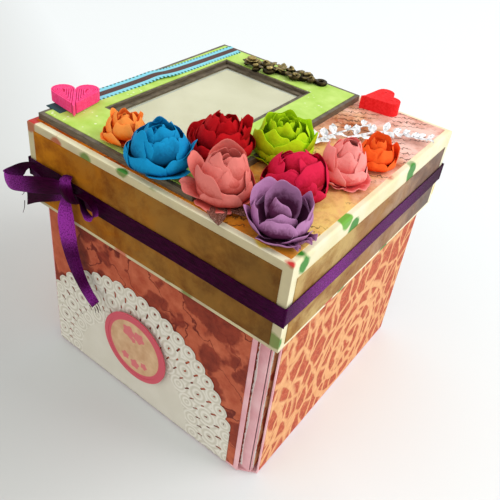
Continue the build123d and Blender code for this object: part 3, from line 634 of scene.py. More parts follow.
def wrapped_band():
    """The stations of the band round the lid, a little rippled, with its corners turned."""
    stations = []
    for side in range(4):
        turn = radians(90 * side)
        outward = np.array([sin(turn), -cos(turn)])
        onward = np.array([cos(turn), sin(turn)])
        flat_half = wrap - wrap_corner
        for share in np.linspace(-1, 1, 9):
            flat = outward * wrap + onward * share * flat_half
            ripple = 0.25 * sin(5.3 * share + side) - 0.25 * cos(2.1 * share)
            stations.append((flat[0], flat[1], band_middle + ripple, 0, 0, 1, satin_width))
        for bend in (30, 60):
            swing = turn + radians(bend)
            corner = (outward + onward) * flat_half
            x = corner[0] + wrap_corner * sin(swing)
            y = corner[1] - wrap_corner * cos(swing)
            stations.append((x, y, band_middle - 0.1, 0, 0, 1, satin_width + 0.2))
    stations.append(stations[0])
    return stations


# painted highlights on the band: brightest on the lid's right side, which faces the window light, and faint
# at the front
ribbon_length = satin.strip(wrapped_band(), columns=5, steps=4,
                            painted_sheen=((192, 26, 0.42), (252, 40, 0.2), (10, 8, 0.15)))
# the knot sits on the band at the lid's front, left of its middle
knot = np.array([-42.5, -wrap - 0.4, 122.0])


def from_knot(stations, way, lean=0.0):
    """Stations given as steps right, outward and up from the knot, a width, and their own lean."""
    return [(knot[0] + a, knot[1] - o, knot[2] + z, way[0], way[1] + lean * own, way[2], width)
            for a, o, z, width, own in stations]


# the left loop leaves along the band, turns at its end and comes back lower and nearer
left_loop = [
    (-3, 1.0, 1.0, 5.0, 0), (-10, 1.2, 1.4, 7.0, 0), (-20, 1.2, 0.4, 8.6, 0), (-27, 1.4, 1.0, 6.0, 0),
    (-32.5, 1.8, 0.6, 3.4, 0), (-37.5, 2.6, -2.4, 5.0, 0.3), (-42, 4.0, -6.8, 8.6, 0.6),
    (-45.2, 6.4, -9.2, 9.2, 0.8), (-44.4, 8.4, -9.8, 8.0, 0.3), (-39, 9.4, -9.0, 8.4, 0),
    (-31, 9.0, -6.4, 8.8, 0), (-20, 7.4, -2.6, 9.6, 0), (-10, 5.2, 0.2, 9.0, 0), (-3, 3.0, 1.2, 6.4, 0)]
ribbon_length += satin.strip(from_knot(left_loop, (0.15, 0, 1), -0.5), crown=0.5, squared=True,
                             painted_sheen=((50, 6, 0.85), (62, 8, 0.35), (96, 5, 0.4)))
# the right loop is small, stands out from the lid and curls down and round
right_loop = [
    (3, 1.4, 0.6, 4.5, 0), (8, 2.2, 1.8, 5.2, 0), (13.4, 3.2, 2.0, 6.0, 0), (17.4, 3.8, -0.8, 6.4, 0),
    (17.2, 4.2, -4.8, 6.4, 0), (13.4, 4.2, -6.8, 6.2, 0), (9.4, 3.6, -5.4, 5.4, 0), (6.2, 2.4, -2.8, 4.6, 0),
    (3.4, 1.4, -1.0, 4.2, 0)]
ribbon_length += satin.strip(from_knot(right_loop, (0.5, -1, 0.35)), crown=0.3, squared=True,
                             painted_sheen=((22, 5, 0.85),))
# the long tail is pinched at the knot, opens and swings to the right, facing a little right
long_tail = [
    (-3, 3.2, -2.6, 4.0, 0.3), (-3.6, 4.0, -8.6, 6.2, 0.5), (-3.9, 4.2, -15, 7.8, 0.62),
    (-4.3, 3.8, -21.5, 8.2, 0.66), (-4.6, 3.2, -28, 8.2, 0.66), (-4.3, 2.8, -34.5, 8.0, 0.62),
    (-3.0, 2.5, -41.5, 7.6, 0.56), (-0.4, 2.4, -48.5, 7.0, 0.5), (3.9, 2.6, -54.8, 6.2, 0.4),
    (9.3, 3.2, -59.4, 5.4, 0.3), (14.6, 3.8, -62.2, 4.6, 0.3)]
ribbon_length += satin.strip(from_knot(long_tail, (1, 0, 0), 1.0), crown=0.8, squared=True,
                             painted_sheen=((13, 10, 1.0), (24, 8, 0.6), (44, 8, 0.15), (63, 6, 0.45)))
# the short tail runs left below the loop and is cut upright
short_tail = [
    (-2, 1.0, -2.2, 6.0, 0), (-8, 1.5, -4.8, 8.0, 0), (-17, 2.0, -9.2, 9.6, 0), (-28, 2.2, -14.6, 10.4, 0),
    (-37.5, 2.2, -20.0, 12.4, 0)]
ribbon_length += satin.strip(from_knot(short_tail, (0.1, 0, 1)), crown=0.3, painted_sheen=((8, 6, 0.3),))
# the knot is a turn of the same ribbon, pulled tight over the rest
knot_turn = [
    (-4.6, 0.6, 6.4, 5.4, 0), (-4.0, 2.8, 5.2, 6.4, 0), (-2.4, 4.0, 2.0, 7.2, 0), (-1.0, 4.2, -1.2, 7.2, 0),
    (0.2, 3.4, -4.0, 6.4, 0), (0.6, 1.4, -5.6, 5.4, 0)]
ribbon_length += satin.strip(from_knot(knot_turn, (1, 0.3, 0.2)), crown=1.0, painted_sheen=((3, 2, 0.4),))
# loose threads at the two cut ends, each from one place beside the knot to another
frayed = [
    (-39.6, 2.3, -24, -41.4, 3.0, -32.4), (-39.2, 2.2, -18, -41.0, 2.6, -21), (16, 4, -60, 18.6, 4.4, -63.4),
    (13.4, 3.8, -64.8, 14.6, 4.4, -67.4), (15.2, 3.9, -62.6, 17.4, 4.6, -65.6)]
for a, o, z, a_end, o_end, z_end in frayed:
    halfway = ((a + a_end) / 2 + 0.5, (o + o_end) / 2, (z + z_end) / 2, 0.3, 0)
    thread = [(a, o, z, 0.4, 0), halfway, (a_end, o_end, z_end, 0.2, 0)]
    satin.strip(from_knot(thread, (1, 0.5, 0)), columns=2, steps=4)
satin_ribbon = add_piece("satin_ribbon_cloth", "satin_ribbon", "lid", purple_satin, satin.points,
                         satin.faces, thickness=0.2,
                         marks={"along": satin.along, "across": satin.across, "painted_sheen": satin.painted_sheen})

# Photo frame
# Layers of card: a grey-brown board, a lime paper face with pale flecks, an inner mat, a clear
# film and a bare sheet where a photo goes. It is glued flat on the lid.


def grey_board(name):
    """Dull coated board, grey-brown, with brushed streaks about 5 mm long."""
    material, tree, shader, place = start_material(name, 0.45, 0.4)
    drawn = add_node(tree, "Mapping", {"Vector": place, "Scale": (0.25, 0.25, 2.5)})
    streaks = add_node(tree, "TexNoise", {"Vector": drawn, "Scale": per(1.2), "Detail": 5.0})
    colour = add_node(tree, "ValToRGB", {"Fac": streaks}, stops=((0.3, "#483E30"), (0.7, "#766A56")))
    finish_material(tree, shader, colour, streaks, 0.05 * mm)
    return material


def flecked_lime(name):
    """Cloudy lime paper with patches of white flecks about 1 mm across."""
    material, tree, shader, place = start_material(name, 0.55)
    cloud = add_node(tree, "TexNoise", {"Vector": place, "Scale": per(10), "Detail": 5.0})
    lime = add_node(tree, "ValToRGB", {"Fac": cloud}, stops=((0.3, "#A8D04A"), (0.7, "#C8E47A")))
    flecks = add_node(tree, "TexVoronoi", {"Vector": place, "Scale": per(3.4)})
    fleck = add_node(tree, "ValToRGB", {"Fac": flecks}, stops=((0.14, "#FFFFFF"), (0.22, "#000000")))
    patch = add_node(tree, "TexNoise", {"Vector": place, "Scale": per(28), "Detail": 2.0})
    where = add_node(tree, "ValToRGB", {"Fac": patch}, stops=((0.5, "#000000"), (0.58, "#CFCFCF")))
    mask = add_node(tree, "Math", {0: fleck, 1: where}, operation="MULTIPLY")
    colour = add_node(tree, "Mix", {0: mask, 6: lime, 7: linear("#F4F9DC")}, data_type="RGBA")
    grain = add_node(tree, "TexNoise", {"Vector": place, "Scale": per(0.8), "Detail": 3.0})
    finish_material(tree, shader, colour.outputs[2], grain, 0.05 * mm)
    return material


def bare_sheet(name, low, high):
    """Cream wove paper, faintly clouded, with a pale blue line ruled 3.5 mm inside its visible edge."""
    material, tree, shader, place = start_material(name, 0.6)
    cloud = add_node(tree, "TexNoise", {"Vector": place, "Scale": per(22), "Detail": 4.0})
    cream = add_node(tree, "ValToRGB", {"Fac": cloud}, stops=((0.3, "#CFCDA8"), (0.7, "#DEDCBC")))
    axes = add_node(tree, "SeparateXYZ", {0: place})
    inside = []
    for axis in (0, 1):
        middle, half = (low[axis] + high[axis]) / 2, (high[axis] - low[axis]) / 2
        off = add_node(tree, "Math", {0: axes.outputs[axis], 1: middle}, operation="SUBTRACT")
        off_abs = add_node(tree, "Math", {0: off}, operation="ABSOLUTE")
        inside.append(add_node(tree, "Math", {0: half, 1: off_abs}, operation="SUBTRACT"))
    from_edge = add_node(tree, "Math", {0: inside[0], 1: inside[1]}, operation="MINIMUM")
    off_line = add_node(tree, "Math", {0: from_edge, 1: 3.5 * mm}, operation="SUBTRACT")
    line = add_node(tree, "Math", {0: off_line}, operation="ABSOLUTE")
    ruled = add_node(tree, "MapRange", {0: line, 1: 0.15 * mm, 2: 0.4 * mm, 3: 0.55, 4: 0.0})
    colour = add_node(tree, "Mix", {0: ruled, 6: cream, 7: linear("#7FA8C8")}, data_type="RGBA")
    finish_material(tree, shader, colour.outputs[2], cloud, 0.05 * mm)
    return material


def clear_film(name):
    """Thin polyester film, colourless and glossy, that dims what it covers only a little."""
    material, tree, shader, place = start_material(name, 0.08, 0.5)
    ripple = add_node(tree, "TexNoise", {"Vector": place, "Scale": per(30), "Detail": 1.0})
    relief = add_node(tree, "Bump", {"Height": ripple, "Distance": 0.4 * mm, "Strength": 0.4})
    join(tree, relief, shader.inputs["Normal"])
    shader.inputs["Base Color"].default_value = linear("#F4F6F2")
    shader.inputs["Alpha"].default_value = 0.16
    shader.inputs["IOR"].default_value = 1.5
    return material


dress(grey_board("coated_grey_board"), "frame_board", "inner_mat")
dress(flecked_lime("flecked_lime_paper"), "frame_face")
window_low, window_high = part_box("window_film")
dress(bare_sheet("cream_wove_paper", window_low, window_high), "photo_sheet")
dress(clear_film("clear_polyester_film"), "window_film")

# Striped ribbon
# Ribbed ribbon 11 mm wide, aqua with a brown middle stripe and green stitches along its edges.
# It is glued along the frame's left bar, kinks once halfway, and its front end is dark teal.


def ribbed_ribbon(name):
    """Cross ribs 1 mm apart, a stripe a third of the width, and stitches 2.6 mm apart."""
    material, tree, shader, place = start_material(name, 0.5)
    along = add_node(tree, "Attribute", attribute_name="along").outputs["Fac"]
    across = add_node(tree, "Attribute", attribute_name="across").outputs["Fac"]
    side = add_node(tree, "Math", {0: across}, operation="ABSOLUTE")
    stripe = add_node(tree, "ValToRGB", {"Fac": side}, stops=((0.36, "#FFFFFF"), (0.4, "#000000")))
    edge = add_node(tree, "ValToRGB", {"Fac": side}, stops=((0.78, "#000000"), (0.82, "#FFFFFF")))
    steps = add_node(tree, "Math", {0: along, 1: per(2.6)}, operation="MULTIPLY")
    step = add_node(tree, "Math", {0: steps}, operation="FRACT")
    dash = add_node(tree, "Math", {0: step, 1: 0.5}, operation="LESS_THAN")
    stitch = add_node(tree, "Math", {0: edge, 1: dash}, operation="MULTIPLY")
    striped = add_node(tree, "Mix", {0: stripe, 6: linear("#86D6E6"), 7: linear("#553630")}, data_type="RGBA")
    stitched = add_node(tree, "Mix", {0: stitch, 6: striped.outputs[2], 7: linear("#0E5C4C")},
                        data_type="RGBA")
    front = add_node(tree, "Math", {0: along, 1: 14 * mm}, operation="LESS_THAN")
    colour = add_node(tree, "Mix", {0: front, 6: stitched.outputs[2], 7: linear("#27484E")}, data_type="RGBA")
    ribs = add_node(tree, "Math", {0: along, 1: 2 * pi * per(1.0)}, operation="MULTIPLY")
    rib = add_node(tree, "Math", {0: ribs}, operation="SINE")
    finish_material(tree, shader, colour.outputs[2], rib, 0.08 * mm)
    return material


striped = Cloth()
striped_width = 11
face_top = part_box("frame_face")[1][2] / mm + 0.05
# each station is its place, its lift over the paper, how far it is turned, and its width
striped_path = [
    (-71.6, -66.4, 0, -0.06, striped_width), (-70.6, -52, 0, -0.04, striped_width),
    (-69.4, -32, 0, -0.04, striped_width), (-68.2, -12, 0.3, -0.04, striped_width),
    (-67.2, 0, 1.0, -0.1, 10.6), (-65.6, 7, 0.9, -0.1, 10.6),
    (-65.4, 16, 0.3, -0.02, striped_width), (-65, 34, 0, -0.02, striped_width),
    (-64.4, 54, 0, -0.04, striped_width), (-63.4, 67.5, 0.4, -0.3, striped_width)]
striped_length = striped.strip([(x, y, face_top + z, 1, w, 0, width) for x, y, z, w, width in striped_path],
                               columns=5, steps=5)
striped_ribbon = add_piece("striped_ribbon_cloth", "striped_ribbon", "lid",
                           ribbed_ribbon("ribbed_aqua_ribbon"), striped.points, striped.faces,
                           thickness=0.35, marks={"along": striped.along, "across": striped.across})

# Cast flourish
# A small bronze casting, dark in its hollows and rubbed bright on top: a rosette, scrolls, a
# domed leaf, pointed leaves and a ring. It is glued on the frame's back bar.


class Shape:
    """Tubes and leaves gathered into one mesh, in millimetres in their own frame."""

    def __init__(self):
        self.points, self.faces = [], []
        self.along, self.across = [], []

    def tube(self, path, radii, sides=8):
        """A round bar along a path."""
        path = np.array(path, dtype=float)
        runs = np.gradient(path, axis=0)
        start = len(self.points)
        for row, (centre, run, radius) in enumerate(zip(path, runs, radii)):
            onward = Vector(run).normalized()
            aside = onward.cross(Vector((0, 0, 1))).normalized()
            above = aside.cross(onward)
            for side in range(sides):
                swing = 2 * pi * side / sides
                spoke = cos(swing) * aside + sin(swing) * above
                self.points.append(tuple(Vector(centre) + float(radius) * spoke))
                self.along.append(row / (len(path) - 1))
                self.across.append(0.0)
        for row in range(len(path) - 1):
            for side in range(sides):
                here, there = start + row * sides, start + (row + 1) * sides
                after = (side + 1) % sides
                self.faces.append((here + side, here + after, there + after, there + side))

    def leaf(self, root, bearing, length, width, rise=0.0, dome=0.0, fold=0.0, tip=1.0, rows=9, columns=5,
             crumple=None):
        """A leaf from its root: it rises towards its tip, is domed along it and folded at its rib."""
        start = len(self.points)
        turn = radians(bearing)
        for share in np.linspace(0, 1, rows):
            half = width / 2 * sin(pi * share ** tip) ** 0.8 if 0 < share < 1 else 0.02 * width
            for across in np.linspace(-1, 1, columns):
                x, y = share * length, across * half
                z = rise * share ** 1.5 + dome * sin(pi * share) * (1 - 0.6 * across * across)
                z += fold * abs(across) * half
                if crumple is not None:
                    z += crumple.uniform(-0.5, 0.5)
                    y += crumple.uniform(-0.25, 0.25)
                self.points.append((root[0] + x * cos(turn) - y * sin(turn),
                                    root[1] + x * sin(turn) + y * cos(turn), root[2] + z))
                self.along.append(share)
                self.across.append(across)
        self.faces += grid_faces(rows, columns, start)

    def placed(self, origin, bearing):
        """The points in metres, turned and moved from their own frame."""
        turn = radians(bearing)
        return [((origin[0] + x * cos(turn) - y * sin(turn)) * mm,
                 (origin[1] + x * sin(turn) + y * cos(turn)) * mm,
                 (origin[2] + z) * mm) for x, y, z in self.points]


def aged_bronze(name):
    """Bronze, brown-black where it is low and rubbed to old gold where it is high."""
    material, tree, shader, place = start_material(name, 0.36)
    axes = add_node(tree, "SeparateXYZ", {0: place})
    wear = add_node(tree, "TexNoise", {"Vector": place, "Scale": per(2.4), "Detail": 5.0})
    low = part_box("metal_flourish")[0][2]
    high = add_node(tree, "MapRange", {0: axes.outputs["Z"], 1: low + 0.4 * mm, 2: low + 4.6 * mm})
    rubbed = add_node(tree, "Math", {0: wear, 1: 1.1, 2: -0.55}, operation="MULTIPLY_ADD")
    mixed = add_node(tree, "Math", {0: high, 1: rubbed}, operation="ADD")
    colour = add_node(tree, "ValToRGB", {"Fac": mixed},
                      stops=((0.15, "#15110A"), (0.55, "#4A3F22"), (0.95, "#B4A066")))
    finish_material(tree, shader, colour, wear, 0.12 * mm)
    shader.inputs["Metallic"].default_value = 0.75
    return material


flourish = Shape()
stem = [(x, 2.2 * sin(2 * pi * x / 45), 1.2 + 0.6 * sin(0.5 * x)) for x in np.linspace(0, 44.5, 40)]
flourish.tube(stem, [0.9] * len(stem))
# the rosette has three tiers of six petals, shorter and higher towards its middle
for tier, (reach, lift, rise) in enumerate(((6.0, 0.6, 1.4), (4.4, 1.6, 2.2), (2.6, 2.6, 2.4))):
    for petal in range(6):
        flourish.leaf((4.0, 1.2, lift), 60 * petal + 30 * tier, reach, 3.6, rise=rise, dome=0.7, fold=0.3,
                      tip=0.8)
# each scroll has its number of turns, its middle, its outer radius and where it starts
scrolls = (
    (1.6, 12.0, 3.6, 3.6, 0), (1.5, 17.0, -2.6, 3.2, 180), (1.5, 33.0, -2.8, 3.2, 90),
    (1.5, 38.5, 2.6, 3.4, 200), (1.3, 27.5, 4.2, 2.6, 30), (1.3, 8.5, -3.4, 2.6, 250),
    (1.3, 42.5, -2.4, 2.2, 60))
for turns, middle_x, middle_y, reach, first in scrolls:
    curl = [(middle_x + reach * (1 - 0.8 * t) * cos(radians(first + 360 * turns * t)),
             middle_y + reach * (1 - 0.8 * t) * sin(radians(first + 360 * turns * t)), 0.9 + 2.6 * t)
            for t in np.linspace(0, 1, 30)]
    flourish.tube(curl, [0.7] * len(curl), sides=6)
# each leaf has its root, bearing, length, width, rise and dome. The first eight make the domed leaf
cast_leaves = [(18.5 + 1.1 * i, 0.6 + 1.6 * sin(1.9 * i), 40 * i - 60, 6.0, 3.0, 2.6, 0.9) for i in range(8)]
cast_leaves += [
    (8.0, -1.0, -38, 7.0, 3.2, 1.6, 0.9), (14.5, 1.5, 62, 6.5, 3.2, 2.2, 0.9), (11, 0.5, 150, 6, 3, 2.4, 0.8),
    (27.0, -1.5, -46, 7.0, 3.2, 1.6, 0.9), (30.0, 0.5, 40, 7.5, 3.4, 2.0, 0.9),
    (35.0, -1.0, -18, 6.5, 3.0, 1.4, 0.8), (36.5, 0.5, 118, 6, 2.8, 2.0, 0.8),
    (31, -1, 215, 5, 2.8, 1.8, 0.7)]
for x, y, bearing, length, width, rise, dome in cast_leaves:
    flourish.leaf((x, y, 0.8), bearing, length, width, rise=rise, dome=dome, fold=0.35)
ring = [(47.6 + 2.5 * cos(a), 0.2 + 2.5 * sin(a), 1.0) for a in np.linspace(0, 2 * pi, 21)]
flourish.tube(ring, [0.8] * len(ring))
frame_low, frame_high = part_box("frame_board")
# its left end lies 29 mm from the board's left edge and 17 mm from its back edge
flourish_root = (frame_low[0] / mm + 29, frame_high[1] / mm - 17, face_top)
flourish_bearing = 14
add_piece("cast_flourish", "metal_flourish", "lid", aged_bronze("aged_bronze"),
          flourish.placed(flourish_root, flourish_bearing), flourish.faces, thickness=0.5)

# Paper roses
# Mulberry paper petals, cut out, shaped over a rounded tool and glued round a rolled bud.
# The soft paper shows long fibres; painted shade darkens it at the petals' roots deep in the rose, and its
# cut rims are paler, partly from their thin fibres and partly from a painted highlight.
petal_rows = 9
petal_columns = 9


def mulberry_paper(name, deep, body, rim):
    """Dyed mulberry paper with 5 mm creases, painted deep in shade at the petal's root and paler at its rim,
    partly as painted highlight.
    """
    material, tree, shader, place = start_material(name, 0.78, 0.12)
    reach = add_node(tree, "Attribute", attribute_name="reach").outputs["Fac"]
    tone = add_node(tree, "Attribute", attribute_name="tone").outputs["Fac"]
    fibres = add_node(tree, "TexNoise", {"Vector": place, "Scale": per(2.2), "Detail": 6.0,
                                         "Distortion": 1.2})
    mottled = add_node(tree, "Math", {0: fibres, 1: 0.3, 2: tone}, operation="MULTIPLY_ADD")
    shade = add_node(tree, "Math", {0: reach, 1: mottled}, operation="ADD")
    # the colour: painted shade at the petal's root, the body, and a paler rim that is partly painted
    # highlight
    colour = add_node(tree, "ValToRGB", {"Fac": shade}, stops=((0.15, deep), (0.75, body), (1.4, rim)))
    crease = add_node(tree, "TexNoise", {"Vector": place, "Scale": per(5), "Detail": 3.0})
    lumpy = add_node(tree, "Math", {0: fibres, 1: 0.2, 2: crease}, operation="MULTIPLY_ADD")
    finish_material(tree, shader, colour, lumpy, 0.9 * mm)
    return material


def petal_grid(floor, belly, tip_out, tip_up, width, hug, roll, wave, point, draw):
    """One petal's points, in shares of the rose's radius.

    Its spine leaves the foot at a level, swells out to the belly and ends at the tip. It lies on
    a round about the rose of at least the radius hug, rolls back at its rim and may be pointed.
    """
    phases = draw.uniform(0, 2 * pi, 3)
    lean = draw.uniform(-0.08, 0.08)
    points = []
    for row in np.linspace(0, 1, petal_rows):
        for c in np.linspace(-1, 1, petal_columns):
            corner = abs(c) ** (2.8 - 1.5 * point)
            notch = 0.06 * (1 - point) * cos(2 * pi * c + phases[2]) ** 3
            t = row * (1 - (0.26 + 0.3 * point) * corner - notch * row ** 3)
            u = 1 - t
            out = 0.05 * u ** 3 + 3.6 * belly * t * u * u + 3.6 * belly * t * t * u + tip_out * t ** 3
            up = floor * (u ** 3 + 3 * t * u * u) + 1.5 * (floor + tip_up) * t * t * u + tip_up * t ** 3
            d_out = 3.6 * belly * (1 - 2 * t) + 3 * tip_out * t * t - 0.15 * u * u
            d_up = -3 * floor * t * t + 1.5 * (floor + tip_up) * (2 * t - 3 * t * t)
            d_up += 3 * tip_up * t * t + 0.02
            run = (d_out * d_out + d_up * d_up) ** 0.5
            half = width / 2 * (0.6 + 0.4 * sin(pi / 2 * min(1, t / 0.5))) * (1 - 0.35 * point * t)
            round_radius = max(out, hug)
            swing = min(2.4, half / round_radius) * c
            bend = roll * (0.8 * t ** 5 + 0.5 * corner * t * t)
            bend += wave * t * t * (sin(2.2 * pi * c + phases[0]) + 0.5 * sin(4 * pi * c + phases[1]))
            reach = round_radius + d_up / run * bend
            points.append((out - round_radius + reach * cos(swing), reach * sin(swing) + lean * t,
                           max(up - d_out / run * bend, 0.02)))
    return np.array(points)


def paper_rose(node, material, petals, seed, rise=1.0, heart=0.0):
    """Glue petals round a bud, on the place and size of one rose.

    It may rise to a share of the place's height, and its heart may be paler or darker by a tone: darker is
    painted shade.
    """
    low, high = (Vector(corner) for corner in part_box(node))
    middle = (low + high) / 2
    size = (high.x - low.x + high.y - low.y) / 4
    tall = (high.z - low.z) * rise
    draw = np.random.default_rng(seed)
    points, faces, reach, tone = [], [], [], []
    for bearings, floor, belly, tip_out, tip_up, width, hug, roll, wave, point in petals:
        for bearing in bearings:
            vary = draw.uniform(0.95, 1.05, 3)
            grid = petal_grid(floor, belly * vary[0], tip_out * vary[0], tip_up * vary[1], width * vary[2],
                              hug, roll, wave, point, draw)
            turn = radians(bearing + draw.uniform(-4, 4))
            x = (grid[:, 0] * cos(turn) - grid[:, 1] * sin(turn)) * size + middle.x
            y = (grid[:, 0] * sin(turn) + grid[:, 1] * cos(turn)) * size + middle.y
            start = len(points)
            points += list(zip(x, y, grid[:, 2] * tall + low.z))
            faces += grid_faces(petal_rows, petal_columns, start)
            # each petal's tone varies a little at random; on inner petals the heart's tone is added, and a
            # darker heart is painted shade in the rose's hollow
            shade = draw.uniform(-0.12, 0.1) + heart * max(0, 1 - belly / 0.8)
            for r in np.linspace(0, 1, petal_rows):
                for c in np.linspace(-1, 1, petal_columns):
                    reach.append(max(r, 0.8 * abs(c) * min(1, 3 * r)))
                    tone.append(shade)
    rose = add_piece(node + "_petals", node, "lid", material, points, faces, thickness=0.3,
                     marks={"reach": reach, "tone": tone})
    rounding = rose.modifiers.new("rounding", "SUBSURF")
    rounding.levels = 1
    rounding.render_levels = 1


def spread(count, first):
    """Bearings of petals spaced evenly round the rose from the first one."""
    return [first + 360 * i / count for i in range(count)]


orange_paper = mulberry_paper("orange_mulberry_paper", "#DC5604", "#FF7614", "#FF9844")
blue_paper = mulberry_paper("blue_mulberry_paper", "#00243C", "#01608E", "#1090C6")
red_paper = mulberry_paper("red_mulberry_paper", "#440004", "#8E010A", "#BE0B16")
salmon_paper = mulberry_paper("salmon_mulberry_paper", "#902C24", "#CA544A", "#E88076")
lime_paper = mulberry_paper("lime_mulberry_paper", "#3E6400", "#8CB400", "#BCE212")
crimson_paper = mulberry_paper("crimson_mulberry_paper", "#5E000B", "#A2011C", "#D61C44")
purple_paper = mulberry_paper("purple_mulberry_paper", "#18020F", "#5C264A", "#B880AE")
coral_paper = mulberry_paper("coral_mulberry_paper", "#B8363A", "#E65C5A", "#FC9A94")
vermilion_paper = mulberry_paper("vermilion_mulberry_paper", "#BC2600", "#F43E06", "#FF6826")

# A row holds petals that are alike: their bearings, then what petal_grid takes, namely floor,
# belly, tip out, tip up, width, hug, roll, wave and point. A rose's last values are the seed of its
# small variations, its share of the height and its heart's tone, where a darker tone is painted shade.


def closed_rings(first, wave, point=0.0, girth=1.0):
    """Four rings that overlap into a ball, from the bud to the foot."""
    return [
        (spread(3, first + 15), 0.4, 0.3, 0.1, 0.96, 1.0, 0.3, 0, wave / 2, point),
        (spread(4, first + 50), 0.3, 0.6, 0.34, 0.98, 1.1, 0.5, 0.02, wave, point),
        (spread(5, first + 20), 0.15, 0.84 * girth, 0.62 * girth, 0.8, 1.25, 0.75 * girth, 0.05, wave, point),
        (spread(5, first + 55), 0.03, 0.94 * girth, 0.88 * girth, 0.44, 1.35, 0.9 * girth, 0.06, wave, point)]


paper_rose("rose_orange", orange_paper, closed_rings(0, 0.06, 0.2) + [
    ((175,), 0.1, 0.6, 0.86, 0.9, 0.8, 0.4, 0.1, 0.06, 0.4),
    ((60,), 0.1, 0.6, 0.76, 0.96, 0.9, 0.4, 0.1, 0.06, 0.4),
    ((228, 10), 0.03, 0.8, 1.12, 0.26, 1.2, 1.0, 0.04, 0.08, 0.2)], 3)
paper_rose("rose_blue", blue_paper, closed_rings(10, 0.05) + [
    ((120,), 0.4, 0.5, 0.36, 1.06, 1.4, 0.4, -0.04, 0.05, 0),
    ((-98, -25), 0.15, 0.8, 0.6, 0.9, 1.1, 0.7, 0.04, 0.04, 0),
    ((-85, 215), 0.03, 0.98, 0.96, 0.42, 1.6, 0.95, 0.05, 0.05, 0),
    ((32,), 0.1, 0.8, 1.12, 0.8, 0.95, 0.7, 0.03, 0.03, 0.1),
    ((-26,), 0.03, 0.84, 1.22, 0.24, 1.35, 1.0, 0.08, 0.02, 0)], 5)
paper_rose("rose_red", red_paper, closed_rings(20, 0.04)[1:] + [
    ((170, 290), 0.4, 0.3, 0.05, 1.0, 1.0, 0.2, 0, 0.01, 0),
    ((214,), 0.35, 0.66, 0.24, 1.0, 1.4, 0.5, 0.04, 0.02, 0),
    ((-30, 30), 0.3, 0.5, 0.5, 1.1, 0.9, 0.4, 0.03, 0.03, 0.5),
    ((5, 70), 0.15, 0.66, 0.86, 0.96, 1.0, 0.6, 0.04, 0.03, 0.4),
    ((225, 180), 0.1, 0.94, 1.02, 0.5, 1.4, 0.8, 0.1, 0.04, 0),
    ((235, -70), 0.02, 0.9, 1.04, 0.24, 1.4, 0.9, 0.06, 0.04, 0)], 7, 0.92)
paper_rose("rose_salmon", salmon_paper, closed_rings(30, 0.04, 0.0, 0.82)[1:] + [
    ((60, 200, 320), 0.4, 0.3, 0.16, 0.9, 1.0, 0.3, 0, 0.02, 0),
    ((119,), 0.35, 0.6, 0.5, 1.06, 1.5, 0.4, 0.02, 0.02, 0),
    ((-20,), 0.3, 0.7, 0.3, 0.86, 1.4, 0.5, 0.02, 0.03, 0),
    ((-104,), 0.12, 0.84, 0.82, 0.74, 1.4, 0.6, 0.14, 0.02, 0),
    ((188,), 0.15, 0.8, 1.06, 0.8, 0.7, 0.4, 0.22, 0.02, 0),
    ((222,), 0.1, 0.84, 1.3, 0.42, 1.1, 0.6, 0.12, 0.03, 0),
    ((-80,), 0.05, 0.78, 1.08, 0.12, 1.3, 0.9, 0.05, 0.03, 0),
    ((22,), 0.05, 0.86, 1.14, 0.56, 1.1, 0.8, 0.06, 0.05, 0.3)], 11, 0.97, 0.3)
paper_rose("rose_lime", lime_paper, closed_rings(40, 0.06)[2:] + [
    (spread(6, 0), 0.5, 0.24, 0.24, 0.98, 0.55, 0.2, 0.03, 0.08, 0.1),
    (spread(5, 20), 0.4, 0.5, 0.46, 1.0, 0.85, 0.35, 0.03, 0.08, 0.1),
    ((119, 190), 0.3, 0.7, 0.62, 0.94, 1.3, 0.6, 0.05, 0.05, 0),
    ((245, -32), 0.12, 0.88, 0.8, 0.76, 1.5, 0.7, 0.04, 0.02, 0),
    ((20, 75), 0.15, 0.86, 0.98, 0.84, 1.2, 0.8, 0.06, 0.04, 0),
    ((214, 150), 0.03, 0.9, 1.2, 0.3, 1.3, 1.0, 0.06, 0.07, 0),
    ((-15, -100), 0.03, 0.86, 1.04, 0.2, 1.3, 0.9, 0.06, 0.07, 0)], 13, 0.85, -0.25)
paper_rose("rose_crimson", crimson_paper, closed_rings(-15, 0.03)[2:] + [
    ((119, -61), 0.5, 0.6, 0.04, 1.0, 1.6, 0.5, 0, 0.01, 0),
    ((150,), 0.4, 0.76, 0.02, 0.98, 1.7, 0.7, 0, 0.02, 0),
    ((20,), 0.35, 0.84, 0.1, 1.0, 1.8, 0.8, 0, 0.03, 0),
    ((214, -5), 0.3, 0.9, 0.5, 0.92, 1.7, 0.8, 0, 0.03, 0),
    ((-66, 60), 0.15, 0.94, 0.74, 0.8, 1.7, 0.85, 0.03, 0.03, 0)], 17)
paper_rose("rose_purple", purple_paper, [
    (spread(3, 100), 0.1, 0.12, 0.1, 0.6, 0.7, 0.1, 0, 0.02, 0.1),
    (spread(5, 5), 0.1, 0.84, 0.78, 0.66, 1.3, 0.7, 0.05, 0.04, 0),
    ((252,), 0.3, 0.4, 0.24, 0.88, 1.3, 0.35, 0.02, 0.02, 0.1),
    ((-50,), 0.2, 0.6, 0.5, 0.66, 1.2, 0.45, 0.04, 0.03, 0.1),
    ((112,), 0.2, 0.6, 0.62, 1.04, 1.3, 0.5, 0.04, 0.02, 0),
    ((40,), 0.15, 0.78, 0.84, 0.94, 1.5, 0.7, 0.06, 0.03, 0),
    ((165,), 0.12, 0.8, 0.98, 0.96, 1.4, 0.6, 0.16, 0.02, 0),
    ((226,), 0.05, 0.88, 1.06, 0.62, 1.35, 0.65, 0.18, 0.02, 0),
    ((-66,), 0.03, 0.9, 1.1, 0.3, 1.35, 0.7, 0.12, 0.03, 0),
    ((-12, 110), 0.03, 0.84, 1.0, 0.34, 1.3, 0.9, 0.08, 0.05, 0),
    ((-24, 2, 20), 0.03, 0.8, 1.2, 0.2, 0.35, 0.9, 0.05, 0.14, 0.6)], 19, 1.0, -0.4)
